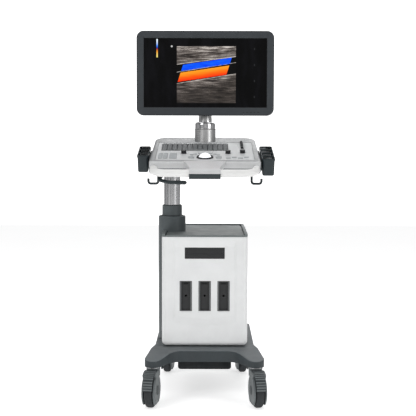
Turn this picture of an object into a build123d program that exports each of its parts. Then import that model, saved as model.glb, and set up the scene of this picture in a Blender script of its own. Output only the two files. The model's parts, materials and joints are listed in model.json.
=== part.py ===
from build123d import *
import os
from math import cos, sin, radians

"""Mobile ultrasound scanner on a four-caster trolley.

Row frame: +Z up, the user stands on the -Y side, origin on the floor at the middle of the overall size.
Depths are first written from the trunk datum, and every piece is shifted once, at the end, to the row origin.
All sizes are millimetres.
"""

# ---- driving dimensions -------------------------------------------------------------------------
TRUNK_WIDTH = 318.0
TRUNK_FRONT = -170.0
TRUNK_BACK = 263.0
TRUNK_BOTTOM = 192.0
TRUNK_TOP = 600.0
COVER_WALL = 3.5
FRONT_WALL = 7.0
COVER_CORNER = 16.0

BASE_HALF_WIDTH = 186.0
BASE_FRONT = -205.0
BASE_BACK = 316.0
BASE_UNDERSIDE = 140.0
BASE_TOP = 188.0
FOOT_TOP = 164.0
FOOT_X = 185.0
FOOT_Y = -270.0
FOOT_RADIUS = 31.0
REAR_SWIVEL_X = 150.0
REAR_SWIVEL_Y = 262.0

WHEEL_RADIUS = 62.5
TYRE_WIDTH = 29.0
WHEEL_TRAIL = 38.0
FRONT_TOE = 9.0
REAR_TOE = 5.0

COLUMN_X = -127.0
COLUMN_Y = 8.0
COLUMN_RADIUS = 52.0
COLUMN_BORE = 41.0
COLUMN_TOP = 666.0
LIFT_TUBE_RADIUS = 31.5
LIFT_TUBE_TOP = 822.0
SWIVEL_PLANE = 840.0

PANEL_TILT = 12.2
PANEL_CENTRE_Y = -126.5
PANEL_CENTRE_Z = 915.0
DECK_WIDTH = 356.0
DECK_LENGTH = 292.6
FRAME_HALF_WIDTH = 200.0
FRAME_FRONT = -178.0
FRAME_BACK = 237.0
FRAME_TOP = 2.0
FRAME_SPLIT = -22.0
FRAME_EDGE = 8.0
FRAME_WALL = 3.0
HOUSING_BOTTOM = -47.0

HANDLE_RADIUS = 13.5
HANDLE_V = -237.7
HANDLE_W = -24.0
HANDLE_HALF = 182.0
HANDLE_BEND = 46.0

POST_Y = 56.0
POST_RADIUS = 40.5
POST_TOP = 1000.0
CAP_TOP = 1026.0

MONITOR_WIDTH = 524.0
MONITOR_HEIGHT = 321.0
MONITOR_CENTRE_Z = 1209.5
MONITOR_FRONT = -15.0
MONITOR_CORNER = 27.0
SCREEN_WIDTH = 470.0
SCREEN_HEIGHT = 263.0
SCREEN_RAISE = 1.5
TILT_Z = 1190.0

SKIN_GAP = 0.3
RUNNING = 0.05

DEPTH_FRONT = -374.5
ROW_SHIFT = Pos(0, -(DEPTH_FRONT + BASE_BACK) / 2, 0)

PANEL = Pos(0, PANEL_CENTRE_Y, PANEL_CENTRE_Z) * Rot(PANEL_TILT, 0, 0)

parts = {}


# ---- small helpers ------------------------------------------------------------------------------
def slab(width, depth, bottom, top, radius=0.0, x=0.0, y=0.0):
    """A plate seen in plan, with rounded vertical corners, between two heights."""
    outline = RectangleRounded(width, depth, radius) if radius else Rectangle(width, depth)
    return Pos(x, y, bottom) * extrude(outline, top - bottom)


def upright(width, height, front, back, radius=0.0, x=0.0, z=0.0):
    """A plate seen from the front, with rounded corners, between two depths."""
    outline = RectangleRounded(width, height, radius) if radius else Rectangle(width, height)
    return Pos(x, front, z) * Rot(-90, 0, 0) * extrude(outline, back - front)


def drum(radius, bottom, top, x=0.0, y=0.0):
    """A cylinder standing on Z between two heights."""
    return Pos(x, y, (bottom + top) / 2) * Cylinder(radius, top - bottom)


def bar_x(radius, x0, x1, y, z):
    """A round bar lying along X."""
    return Pos((x0 + x1) / 2, y, z) * Rot(0, 90, 0) * Cylinder(radius, x1 - x0)


def bar_y(radius, y0, y1, x, z):
    """A round bar lying along Y."""
    return Pos(x, (y0 + y1) / 2, z) * Rot(90, 0, 0) * Cylinder(radius, y1 - y0)


def block(x0, x1, y0, y1, z0, z1):
    """A box given by its two corners."""
    return Pos((x0 + x1) / 2, (y0 + y1) / 2, (z0 + z1) / 2) * Box(x1 - x0, y1 - y0, z1 - z0)


def edges_at(shape, axis, value, span=0.6):
    """The edges whose middle lies at one value along an axis."""
    return [e for e in shape.edges() if abs(getattr(e.center(), axis) - value) < span]


def together(solids):
    """Several separate solids as one node."""
    loose = []
    for piece in solids:
        loose.extend(piece.solids())
    return Compound(loose)


# ---- base ---------------------------------------------------------------------------------------
def base_outline():
    """Plan of the base: a rounded body with two feet reaching forward to the front casters."""
    body_depth = BASE_BACK - BASE_FRONT
    body = Pos(0, (BASE_BACK + BASE_FRONT) / 2) * RectangleRounded(2 * BASE_HALF_WIDTH, body_depth, 38)
    waist_radius = 55.0
    for side in (-1, 1):
        foot = Pos(side * FOOT_X, FOOT_Y) * Circle(FOOT_RADIUS)
        waist = Pos(side * (BASE_HALF_WIDTH - waist_radius), -120) * Circle(waist_radius)
        arm = make_hull((foot + waist).edges())
        body += arm
    notches = [v for v in body.vertices() if abs(v.Y - BASE_FRONT) < 4 and abs(v.X) < 150]
    body = fillet(notches, 58)
    flares = [v for v in body.vertices() if abs(abs(v.X) - BASE_HALF_WIDTH) < 3 and -150 < v.Y < -90]
    return fillet(flares, 60) if flares else body


def base_shell():
    """Moulded base with a floor pocket for the electronics and a stem socket over each caster."""
    side_profile = Polyline(
        (-330, BASE_UNDERSIDE), (-330, FOOT_TOP - 4), (-305, FOOT_TOP), (TRUNK_FRONT - 8, BASE_TOP),
        (BASE_BACK + 10, BASE_TOP), (BASE_BACK + 10, BASE_UNDERSIDE), (-330, BASE_UNDERSIDE),
    )
    prism = extrude(Plane.YZ * make_face(side_profile), 260, both=True)
    plan = Pos(0, 0, BASE_UNDERSIDE - 2) * extrude(base_outline(), 60)
    shell = plan & prism
    rim = [e for e in shell.edges() if e.center().Z > FOOT_TOP - 6 and abs(e.center().X) > 1]
    rim += [e for e in shell.edges() if e.center().Z > BASE_UNDERSIDE + 20 and abs(e.center().X) <= 1
            and (e.center().Y < TRUNK_FRONT - 20 or e.center().Y > BASE_BACK - 2)]
    shell = fillet(rim, 4.5)
    shell -= slab(260, 330, BASE_UNDERSIDE - 1, BASE_TOP - 5, 20, y=25)
    for x, y in swivel_points():
        shell -= drum(11.05, BASE_UNDERSIDE - 1, BASE_UNDERSIDE + 14, x, y)
    return shell


def swivel_points():
    """Where the four caster stems stand: front left, front right, rear left, rear right."""
    front = [(-FOOT_X, FOOT_Y), (FOOT_X, FOOT_Y)]
    rear = [(-REAR_SWIVEL_X, REAR_SWIVEL_Y), (REAR_SWIVEL_X, REAR_SWIVEL_Y)]
    return front + rear


TUB_BOTTOM = 104.0


def battery_box():
    """Black tub hung under the base, flanged so that it closes the base's floor pocket."""
    flange = slab(259, 329, BASE_UNDERSIDE, BASE_UNDERSIDE + 3, 19.5, y=25)
    tub = slab(199, 275, TUB_BOTTOM, BASE_UNDERSIDE, 14, y=-37.5)
    tub = fillet(edges_at(tub, "Z", TUB_BOTTOM), 9)
    inside = slab(191, 267, TUB_BOTTOM + 4, BASE_UNDERSIDE + 4, 10, y=-37.5)
    return (flange + tub) - inside


# ---- casters ------------------------------------------------------------------------------------
PEDAL_PIVOT_ANGLE = 38.0
HOOD_IN = 66.0
HOOD_OUT = 69.0
PEDAL_TIP_ANGLE = 10.0
HOOD_HALF = 18.0
PEDAL_HALF = 17.0
CHEEK_IN = 17.5
CHEEK_OUT = 24.0
RIB_STEP = 7.5
RIB_ANGLE = 4.0
RIB_RISE = 3.0


def caster_stems():
    """Four steel stems with their bearing flanges, pressed into the base."""
    stems = []
    for x, y in swivel_points():
        stem = drum(11, BASE_UNDERSIDE, BASE_UNDERSIDE + 13.5, x, y)
        flange = drum(24, BASE_UNDERSIDE - 5, BASE_UNDERSIDE, x, y)
        pin = drum(8, 121, BASE_UNDERSIDE - 5, x, y)
        stems.append(stem + flange + pin)
    return together(stems)


def sector(radius_in, radius_out, start, stop, half_width):
    """A curved strap around the wheel centre, angles in degrees from straight ahead, up being 90."""
    def point(radius, angle):
        return (-WHEEL_TRAIL - radius * cos(radians(angle)), WHEEL_RADIUS + radius * sin(radians(angle)))

    middle = (start + stop) / 2
    outer = ThreePointArc(point(radius_out, start), point(radius_out, middle), point(radius_out, stop))
    inner = ThreePointArc(point(radius_in, stop), point(radius_in, middle), point(radius_in, start))
    loop = outer + Line(outer @ 1, inner @ 0) + inner + Line(inner @ 1, outer @ 0)
    return extrude(Plane.YZ * make_face(loop), half_width, both=True)


def ribs(first, count, half_width):
    """Cross ribs on the strap over the wheel, from a first angle upwards."""
    starts = [first + RIB_STEP * number for number in range(count)]
    return [sector(HOOD_OUT - 0.5, HOOD_OUT + RIB_RISE, start, start + RIB_ANGLE, half_width) for start in starts]


def caster_fork():
    """Two side shells and a ribbed hood around one wheel, with the swivel head on top."""
    cheeks = []
    for side in (-1, 1):
        disc = bar_x(57, CHEEK_IN, CHEEK_OUT, -WHEEL_TRAIL, WHEEL_RADIUS)
        disc = fillet(edges_at(disc, "X", CHEEK_OUT), 5)
        cheeks.append(disc if side > 0 else mirror(disc, Plane.YZ))
    hood = sector(HOOD_IN, HOOD_OUT, PEDAL_PIVOT_ANGLE + 3, 150, HOOD_HALF)
    shoulders = sector(54, HOOD_OUT, 60, 128, CHEEK_OUT) - sector(50, 75, 50, 140, CHEEK_IN)
    head = drum(25, 108, BASE_UNDERSIDE - 5.6)
    head -= bar_x(HOOD_IN, -HOOD_HALF, HOOD_HALF, -WHEEL_TRAIL, WHEEL_RADIUS)
    fork = cheeks[0] + cheeks[1] + hood + shoulders + head
    for rib in ribs(PEDAL_PIVOT_ANGLE + 5.5, 5, HOOD_HALF):
        fork += rib
    fork -= block(-40, 40, -160, 60, -5, 16)
    fork -= drum(8 + RUNNING, 100, 150)
    fork -= bar_x(6, -22, 22, -WHEEL_TRAIL, WHEEL_RADIUS)
    axle = bar_x(6, -22, 22, -WHEEL_TRAIL, WHEEL_RADIUS)
    return together([fork, axle])


def caster_wheel():
    """Rubber tyre on a moulded hub with a bore for the axle."""
    half = TYRE_WIDTH / 2
    tyre = bar_x(WHEEL_RADIUS, -half, half, -WHEEL_TRAIL, WHEEL_RADIUS)
    tyre = fillet(edges_at(tyre, "X", half) + edges_at(tyre, "X", -half), 9)
    tyre -= bar_x(50, -20, 20, -WHEEL_TRAIL, WHEEL_RADIUS)
    hub = bar_x(50, -13, 13, -WHEEL_TRAIL, WHEEL_RADIUS)
    for side in (-1, 1):
        dish = bar_x(44, min(side * 5, side * 14), max(side * 5, side * 14), -WHEEL_TRAIL, WHEEL_RADIUS)
        boss = bar_x(13, min(side * 4, side * 13), max(side * 4, side * 13), -WHEEL_TRAIL, WHEEL_RADIUS)
        hub = (hub - dish) + boss
    hub -= bar_x(6 + RUNNING, -20, 20, -WHEEL_TRAIL, WHEEL_RADIUS)
    return together([tyre, hub])


def brake_pedal():
    """Ribbed toe flap that closes the front of the hood when the brake is set."""
    flap = sector(HOOD_IN, HOOD_OUT, PEDAL_TIP_ANGLE, PEDAL_PIVOT_ANGLE + 2, PEDAL_HALF)
    for rib in ribs(PEDAL_TIP_ANGLE + 0.5, 4, PEDAL_HALF):
        flap += rib
    return flap


def casters():
    """Four casters in their parked pose, brakes set and wheels toed out a little."""
    names = ("front_left", "front_right", "rear_left", "rear_right")
    for name, (x, y) in zip(names, swivel_points()):
        toe = FRONT_TOE if "front" in name else REAR_TOE
        turn = -toe if x < 0 else toe
        place = Pos(x, y, 0) * Rot(0, 0, turn)
        parts["caster_fork_" + name] = place * caster_fork()
        parts["caster_wheel_" + name] = place * caster_wheel()
        parts["brake_pedal_" + name] = place * brake_pedal()


# ---- trunk --------------------------------------------------------------------------------------
TRUNK_MIDDLE_Z = (TRUNK_BOTTOM + TRUNK_TOP) / 2
TRUNK_HEIGHT = TRUNK_TOP - TRUNK_BOTTOM
FRONT_DEPTH = 45.0
BACK_DEPTH = 23.0
DRIVE_Z = 539.0
DRIVE_WIDTH = 148.0
DRIVE_HEIGHT = 42.0
SOCKET_PITCH = 70.0
SOCKET_Z = 379.0
SOCKET_WIDTH = 46.0
SOCKET_HEIGHT = 113.0
COLUMN_GAP = 2.0
DISH_DEPTH = 3.2
DISH_HALF = 118.0
DISH_SLOPE = 9.0


def trunk_section(front, back, inset=0.0):
    """The trunk's outline seen from the front, rounded at its two lower corners, over a depth."""
    lower = 18.0 - inset
    body = block(-TRUNK_WIDTH / 2 + inset, TRUNK_WIDTH / 2 - inset, front, back,
                 TRUNK_BOTTOM + inset, TRUNK_TOP + (5 if inset else 0))
    corners = [e for e in body.edges() if abs(e.center().Z - TRUNK_BOTTOM - inset) < 1
               and abs(abs(e.center().X) - TRUNK_WIDTH / 2 + inset) < 1]
    return fillet(corners, lower)


def socket_centres():
    """X of the three probe sockets."""
    return [SOCKET_PITCH * step for step in (-1, 0, 1)]


def dish_face(depth):
    """Outline of the shallow dish at one depth behind the front: straight sides and a bowed lower edge."""
    share = depth / DISH_DEPTH
    half = DISH_HALF - DISH_SLOPE * share
    corner_z = 282 + 26 * share
    centre_z = 268 + 26 * share
    top_z = 585 - 23 * share
    bottom = ThreePointArc((-half, corner_z), (0, centre_z), (half, corner_z))
    sides = Polyline((half, corner_z), (half, top_z), (-half, top_z), (-half, corner_z))
    facing = Plane(origin=(0, TRUNK_FRONT + depth, 0), x_dir=(1, 0, 0), z_dir=(0, -1, 0))
    return facing * make_face(bottom + sides)


def front_dish():
    """The shallow dish around the drive and the sockets, ramped on all sides."""
    return loft([dish_face(-DISH_DEPTH).face(), dish_face(DISH_DEPTH).face()], ruled=True)


def trunk_front_panel():
    """White front moulding with the drive bay and the three probe socket openings."""
    back = TRUNK_FRONT + FRONT_DEPTH
    outer = trunk_section(TRUNK_FRONT, back)
    uprights = [e for e in outer.edges() if abs(e.center().Y - TRUNK_FRONT) < 0.5 and abs(e.center().X) > 100]
    outer = fillet(uprights, COVER_CORNER)
    outer = fillet([e for e in outer.edges() if abs(e.center().Y - TRUNK_FRONT) < 0.5
                    and e.center().Z > TRUNK_TOP - 1], 3)
    hollow = trunk_section(TRUNK_FRONT + FRONT_WALL, back + 1, COVER_WALL)
    hollow = fillet([e for e in hollow.edges() if abs(e.center().Y - TRUNK_FRONT - FRONT_WALL) < 0.5
                     and abs(e.center().X) > 100], COVER_CORNER - 4)
    panel = outer - hollow
    lid = block(-TRUNK_WIDTH / 2 + 14, TRUNK_WIDTH / 2 - 14, TRUNK_FRONT + 3.4, back, TRUNK_TOP - 3, TRUNK_TOP)
    panel += lid
    panel -= front_dish()
    panel -= upright(DRIVE_WIDTH, DRIVE_HEIGHT, TRUNK_FRONT - 1, TRUNK_FRONT + 9, 1.0, z=DRIVE_Z)
    for x in socket_centres():
        panel -= upright(SOCKET_WIDTH, SOCKET_HEIGHT, TRUNK_FRONT - 1, TRUNK_FRONT + 9, 1.5, x=x, z=SOCKET_Z)
    return panel


def trunk_side_covers():
    """Side covers with turned-in lower flanges; the left one is split around the lift column."""
    front = TRUNK_FRONT + FRONT_DEPTH
    back = TRUNK_BACK - BACK_DEPTH
    skin = trunk_section(front, back) - trunk_section(front - 1, back + 1, COVER_WALL)
    skin -= block(-150, 150, front - 1, back + 1, TRUNK_BOTTOM - 5, TRUNK_TOP + 10)
    column_reach = COLUMN_RADIUS + COLUMN_GAP
    skin -= block(-200, -60, COLUMN_Y - column_reach, COLUMN_Y + column_reach, TRUNK_BOTTOM - 5, TRUNK_TOP + 10)
    for row in range(9):
        vent_z = 270 + 9 * row
        vent = Pos(TRUNK_WIDTH / 2, 130, vent_z) * Box(20, 110, 3.4)
        skin -= vent
    return together(skin.solids())


def trunk_rear_cover():
    """Rear cover with vent slots and the cut-out for the mains inlet."""
    front = TRUNK_BACK - BACK_DEPTH
    outer = trunk_section(front, TRUNK_BACK)
    uprights = [e for e in outer.edges() if abs(e.center().Y - TRUNK_BACK) < 0.5 and abs(e.center().X) > 100]
    outer = fillet(uprights, 11)
    cover = outer - trunk_section(front - 1, TRUNK_BACK - COVER_WALL, COVER_WALL)
    cover += block(-TRUNK_WIDTH / 2 + 14, TRUNK_WIDTH / 2 - 14, front, TRUNK_BACK - 3.4, TRUNK_TOP - 3, TRUNK_TOP)
    for row in range(12):
        cover -= Pos(20, TRUNK_BACK, 390 + 11 * row) * Box(170, 20, 4)
    cover -= upright(INLET_WIDTH, INLET_HEIGHT, TRUNK_BACK - 8, TRUNK_BACK + 1, 1, x=INLET_X, z=INLET_Z)
    return cover


TRAY_FLOOR = 606.0
TRAY_RIM = 611.0


def trunk_top_tray():
    """Grey top with a raised rim on three sides, notched around the lift column."""
    depth = TRUNK_BACK - TRUNK_FRONT
    middle = (TRUNK_BACK + TRUNK_FRONT) / 2
    tray = slab(TRUNK_WIDTH, depth, TRUNK_TOP, TRAY_RIM, 16, y=middle)
    pocket = slab(TRUNK_WIDTH - 24, depth + 40, TRAY_FLOOR, TRAY_RIM + 1, 12, y=middle - 32)
    tray -= pocket
    groove = slab(TRUNK_WIDTH - 24, depth + 40, TRAY_FLOOR - 2.5, TRAY_FLOOR + 1, 12, y=middle - 32)
    groove -= slab(TRUNK_WIDTH - 34, depth + 40, TRAY_FLOOR - 3, TRAY_FLOOR + 2, 8, y=middle - 37)
    tray -= groove
    tray = fillet(edges_at(tray, "Z", TRAY_RIM), 1.8)
    return tray - drum(COLUMN_RADIUS + SKIN_GAP, TRUNK_TOP - 1, TRAY_RIM + 1, COLUMN_X, COLUMN_Y)


CHASSIS_LEFT = -72.0
CHASSIS_RIGHT = 148.0
CHASSIS_FRONT = -103.0
CHASSIS_BACK = 232.0
SHEET = 1.5
BOARD_SHELF_Z = 302.0
DRIVE_SHELF_Z = 519.0
FAN_X = 20.0
FAN_Z = 450.0
FAN_Y = 222.0


def trunk_chassis():
    """Folded sheet-metal box, open front and back, that carries the modules."""
    outer = block(CHASSIS_LEFT, CHASSIS_RIGHT, CHASSIS_FRONT, CHASSIS_BACK, BASE_TOP, 596)
    inner = block(CHASSIS_LEFT + SHEET, CHASSIS_RIGHT - SHEET, CHASSIS_FRONT - 1, CHASSIS_BACK + 1,
                  BASE_TOP + SHEET, 596 - SHEET)
    chassis = outer - inner
    for shelf_z in (BOARD_SHELF_Z, DRIVE_SHELF_Z):
        chassis += block(CHASSIS_LEFT + 1, CHASSIS_RIGHT - 1, CHASSIS_FRONT, CHASSIS_BACK,
                         shelf_z - SHEET, shelf_z)
    strap = block(FAN_X - 14, FAN_X + 14, FAN_Y - 18, FAN_Y - 16, BOARD_SHELF_Z - 1, DRIVE_SHELF_Z - 1)
    return chassis + strap + bar_y(3, FAN_Y - 17, FAN_Y + 6, FAN_X, FAN_Z)


def circuit_boards():
    """Beamformer, system and probe boards standing on edge, and the probe interface board."""
    boards = [block(-50 + 45 * n, -48 + 45 * n, -60, 180, BOARD_SHELF_Z, 490) for n in range(4)]
    boards.append(block(-92, 92, CHASSIS_FRONT - 2, CHASSIS_FRONT, 315, 443))
    return together(boards)


def power_supply():
    """Closed switching supply on the chassis floor."""
    supply = block(-50, 130, -20, 190, BASE_TOP + SHEET, 285)
    return fillet([e for e in supply.edges() if e.center().Z > BASE_TOP + 5], 2)


def optical_drive():
    """Half-height disc drive: a hollow case behind a bezel with a tray slot."""
    half_w = -CHASSIS_LEFT - SHEET - SKIN_GAP
    half_h = DRIVE_HEIGHT / 2 - 1.0
    case = block(-half_w, half_w, DRIVE_FACE + 5, 10, DRIVE_Z - half_h, DRIVE_Z + half_h)
    bezel = upright(DRIVE_WIDTH - 1, DRIVE_HEIGHT - 1, DRIVE_FACE, DRIVE_FACE + 5, 1.0, z=DRIVE_Z)
    drive = case + bezel
    drive -= block(-68, 68, TRUNK_FRONT - 2, 6, TRAY_DOOR_Z - 8, TRAY_DOOR_Z + 8)
    drive -= block(EJECT_X - 6.3, EJECT_X + 6.3, TRUNK_FRONT - 2, DRIVE_FACE + 9, EJECT_Z - 3.3, EJECT_Z + 3.3)
    return drive


TRAY_DOOR_Z = 544.0
EJECT_X = 24.0
EJECT_Z = 526.5
DRIVE_FACE = TRUNK_FRONT + DISH_DEPTH + 0.8


def disc_tray():
    """Disc tray with its door flush in the drive bezel."""
    door = upright(134.8, 14.8, DRIVE_FACE + 0.4, DRIVE_FACE + 4.2, 1, z=TRAY_DOOR_Z)
    plate = block(-63, 63, DRIVE_FACE + 4.2, -22, TRAY_DOOR_Z - 5, TRAY_DOOR_Z + 2)
    plate -= drum(60.5, TRAY_DOOR_Z - 1.5, TRAY_DOOR_Z + 3, 0, -94)
    plate -= drum(19, TRAY_DOOR_Z - 6, TRAY_DOOR_Z + 3, 0, -94)
    return door + plate


def eject_button():
    """Small push button under the disc tray."""
    return block(EJECT_X - 6, EJECT_X + 6, DRIVE_FACE - 0.6, DRIVE_FACE + 7.2, EJECT_Z - 3, EJECT_Z + 3)


def probe_sockets():
    """Three zero-insertion-force connectors with a central lock bore, set back from the front."""
    sockets = []
    for x in socket_centres():
        body = upright(33.6, 107.6, TRUNK_FRONT + 11, CHASSIS_FRONT - 2, 1, x=x, z=SOCKET_Z)
        body -= bar_y(4.2, TRUNK_FRONT + 9, TRUNK_FRONT + 46, x, SOCKET_Z)
        body -= block(x - 9, x + 9, TRUNK_FRONT + 10, TRUNK_FRONT + 18, SOCKET_Z + 43, SOCKET_Z + 49)
        sockets.append(body)
    return together(sockets)


def socket_bezels():
    """Grey frames that line the socket openings and guide the plugs."""
    bezels = []
    for x in socket_centres():
        frame = upright(SOCKET_WIDTH - 0.4, SOCKET_HEIGHT - 0.4, TRUNK_FRONT + DISH_DEPTH + 0.6, TRUNK_FRONT + 24, 1.3,
                        x=x, z=SOCKET_Z)
        frame -= upright(34, 108, TRUNK_FRONT - 1, TRUNK_FRONT + 25, 1.2, x=x, z=SOCKET_Z)
        bezels.append(frame)
    return together(bezels)


INLET_X = 105.0
INLET_Z = 250.0
INLET_WIDTH = 50.0
INLET_HEIGHT = 60.0


def power_inlet():
    """Mains inlet module with its plug recess, three flat pins and a bay for the switch."""
    body = upright(INLET_WIDTH, INLET_HEIGHT, TRUNK_BACK - 24, TRUNK_BACK, 1, x=INLET_X, z=INLET_Z)
    body += upright(INLET_WIDTH + 5, INLET_HEIGHT + 5, TRUNK_BACK, TRUNK_BACK + 1.6, 3, x=INLET_X, z=INLET_Z)
    body -= upright(24.5, 17, TRUNK_BACK - 16, TRUNK_BACK + 3, 3, x=INLET_X, z=INLET_Z - 14)
    body -= upright(28, 20, TRUNK_BACK - 12, TRUNK_BACK + 3, 1, x=INLET_X, z=INLET_Z + 15)
    for dx, dz in ((-7, -2), (0, 2), (7, -2)):
        body += block(INLET_X + dx - 1, INLET_X + dx + 1, TRUNK_BACK - 17, TRUNK_BACK - 2,
                      INLET_Z - 14 + dz - 2, INLET_Z - 14 + dz + 2)
    return body


SWITCH_Y = TRUNK_BACK - 2.0
SWITCH_Z = INLET_Z + 15.0
SWITCH_LEAN = 8.0


def mains_switch():
    """Rocker that tips about a level axis inside the inlet's bay, resting with its lower half pressed in."""
    rocker = bar_x(9, -13, 13, 0, 0) & block(-14, 14, -7, 6, -8, 8)
    return Pos(INLET_X, SWITCH_Y, SWITCH_Z) * Rot(SWITCH_LEAN, 0, 0) * rocker


def cooling_fan():
    """Fan rotor behind the rear vents: a hub with seven flat blades."""
    rotor = bar_y(19, FAN_Y - 10, FAN_Y + 8, FAN_X, FAN_Z)
    for number in range(7):
        blade = Pos(FAN_X, FAN_Y, FAN_Z) * Rot(0, 360 / 7 * number, 0) * Pos(29, 0, 0) * Rot(32, 0, 0)
        rotor += blade * Box(26, 1.8, 20)
    return rotor - bar_y(3 + RUNNING, FAN_Y - 12, FAN_Y + 6.5, FAN_X, FAN_Z)


# ---- lift column --------------------------------------------------------------------------------
def column_housing():
    """Fixed outer column that stands on the base beside the trunk."""
    outer = drum(COLUMN_RADIUS, BASE_TOP, COLUMN_TOP, COLUMN_X, COLUMN_Y)
    outer = fillet(edges_at(outer, "Z", COLUMN_TOP), 6)
    return outer - drum(COLUMN_BORE, BASE_TOP + 4, COLUMN_TOP + 1, COLUMN_X, COLUMN_Y)


def column_collar():
    """Stepped guide collar in the mouth of the column."""
    collar = drum(COLUMN_BORE - 2.8, COLUMN_TOP - 26, 706, COLUMN_X, COLUMN_Y)
    collar = fillet(edges_at(collar, "Z", 706), 2.5)
    collar += drum(COLUMN_BORE - 0.1, COLUMN_TOP - 26, COLUMN_TOP - 8, COLUMN_X, COLUMN_Y)
    return collar - drum(LIFT_TUBE_RADIUS + RUNNING, 600, 720, COLUMN_X, COLUMN_Y)


GUIDE_BOTTOM = 330.0


def lift_tube():
    """Chromed lift tube with the guide ring at its foot."""
    tube = drum(LIFT_TUBE_RADIUS, GUIDE_BOTTOM, LIFT_TUBE_TOP, COLUMN_X, COLUMN_Y)
    tube -= drum(LIFT_TUBE_RADIUS - 3, GUIDE_BOTTOM - 1, LIFT_TUBE_TOP + 1, COLUMN_X, COLUMN_Y)
    ring = drum(COLUMN_BORE - RUNNING, GUIDE_BOTTOM, GUIDE_BOTTOM + 30, COLUMN_X, COLUMN_Y)
    ring -= drum(LIFT_TUBE_RADIUS, GUIDE_BOTTOM - 1, GUIDE_BOTTOM + 31, COLUMN_X, COLUMN_Y)
    return together([tube, ring])


def gas_spring_cylinder():
    """Pressure tube of the lockable gas spring, standing in the column."""
    bottom = BASE_TOP + 4
    tube = drum(14, bottom, 490, COLUMN_X, COLUMN_Y)
    tube -= drum(12, bottom + 6, 474, COLUMN_X, COLUMN_Y)
    return tube - drum(5 + RUNNING, 470, 491, COLUMN_X, COLUMN_Y)


def gas_spring_rod():
    """Piston rod of the gas spring, fixed to the top of the lift tube."""
    rod = drum(5, 300, LIFT_TUBE_TOP, COLUMN_X, COLUMN_Y)
    return rod + drum(12 - RUNNING, 290, 302, COLUMN_X, COLUMN_Y)


PIN_TOP = 862.0


def lift_head():
    """Flange on the lift tube with the swivel pin that the control panel turns on."""
    flange = drum(46, LIFT_TUBE_TOP, SWIVEL_PLANE - 0.4, COLUMN_X, COLUMN_Y)
    flange = fillet(edges_at(flange, "Z", LIFT_TUBE_TOP), 4)
    return flange + drum(15, SWIVEL_PLANE - 1, PIN_TOP, COLUMN_X, COLUMN_Y)


# ---- control panel ------------------------------------------------------------------------------
def frame_plan(inset=0.0):
    """Plan of the panel in its own tilted plane: slightly narrower at the back."""
    front_half = FRAME_HALF_WIDTH - inset
    back_half = FRAME_HALF_WIDTH - 6 - inset
    front = FRAME_FRONT + inset
    back = FRAME_BACK - inset
    outline = make_face(Polyline((-front_half, front), (front_half, front), (back_half, back),
                                 (-back_half, back), (-front_half, front)))
    outline = fillet([v for v in outline.vertices() if v.Y > 0], 52 - inset)
    return fillet([v for v in outline.vertices() if abs(v.Y - front) < 1], 26 - inset)


def panel_solid(bottom, top, inset=0.0):
    """The panel's plan as a solid between two heights in its own plane."""
    return Pos(0, 0, bottom) * extrude(frame_plan(inset), top - bottom)


DECK_THICKNESS = 6.0
BELLY = (-183.0, 74.0, -74.0, 104.0)
BELLY_WALL = 4.0


def panel_lower_housing():
    """Lower half of the panel: a tilted tub with a level belly that sits on the swivel."""
    tub = panel_solid(HOUSING_BOTTOM, FRAME_SPLIT)
    tub = fillet(edges_at(tub, "Z", HOUSING_BOTTOM), 9)
    tub_inside = panel_solid(HOUSING_BOTTOM + 3, FRAME_SPLIT + 1, 3)
    x0, x1, y0, y1 = BELLY
    belly_top = 905.0
    belly = block(x0, x1, y0, y1, SWIVEL_PLANE, belly_top)
    belly = fillet([e for e in belly.edges() if abs(e.center().Z - (SWIVEL_PLANE + belly_top) / 2) < 1], 20)
    room = block(x0 + BELLY_WALL, x1 - BELLY_WALL, y0 + BELLY_WALL, y1 - BELLY_WALL,
                 SWIVEL_PLANE + BELLY_WALL, belly_top)
    housing = (PANEL * tub) + belly
    housing -= PANEL * tub_inside
    above_tub = PANEL * (Pos(0, 0, 60 + FRAME_SPLIT) * Box(600, 700, 120))
    housing -= above_tub
    housing -= room
    housing += drum(25, SWIVEL_PLANE, 866, COLUMN_X, COLUMN_Y)
    housing -= drum(15 + RUNNING, SWIVEL_PLANE - 1, PIN_TOP + 1, COLUMN_X, COLUMN_Y)
    post_seat = drum(POST_RADIUS + 4, POST_FOOT - 34, 960, 0, POST_Y) & (PANEL * tub)
    housing += post_seat
    housing -= drum(POST_RADIUS, POST_FOOT, 1000, 0, POST_Y)
    lug = LEVER_PLACE * (bar_x(8, 0, LUG_WIDTH, 0, 0) + block(0, LUG_WIDTH, -8, 8, 0, 26))
    housing += lug - (PANEL * tub_inside)
    housing -= LEVER_PLACE * bar_x(LEVER_ROD + RUNNING, -1, LUG_WIDTH + 1, 0, 0)
    return max(housing.solids(), key=lambda s: s.volume)


POST_FOOT = 921.0
LEVER_PIVOT = (-108.0, -196.0, 829.0)
LEVER_PLACE = Pos(*LEVER_PIVOT) * Rot(PANEL_TILT, 0, 0)
LEVER_REACH = 108.0
LEVER_ROD = 2.6
LEVER_TIP = 38.0
GRIP_RADIUS = 6.5
LUG_WIDTH = 14.0


def deck_plan(gap=0.0):
    """Outline of the key deck, with its front edge bowed out around the trackball."""
    half_w = DECK_WIDTH / 2 - gap
    half_l = DECK_LENGTH / 2 - gap
    bow = 20.0
    edge = (Line((-half_w, half_l), (half_w, half_l)) + Line((half_w, half_l), (half_w, -half_l))
            + Line((half_w, -half_l), (88, -half_l))
            + Spline([(88, -half_l), (0, -half_l - bow), (-88, -half_l)], tangents=[(-1, 0), (-1, 0)])
            + Line((-88, -half_l), (-half_w, -half_l)) + Line((-half_w, -half_l), (-half_w, half_l)))
    face = make_face(edge)
    corners = [v for v in face.vertices() if abs(abs(v.X) - half_w) < 0.5]
    return fillet(corners, 6 - gap)


FRAME_ROOF = 9.0


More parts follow.
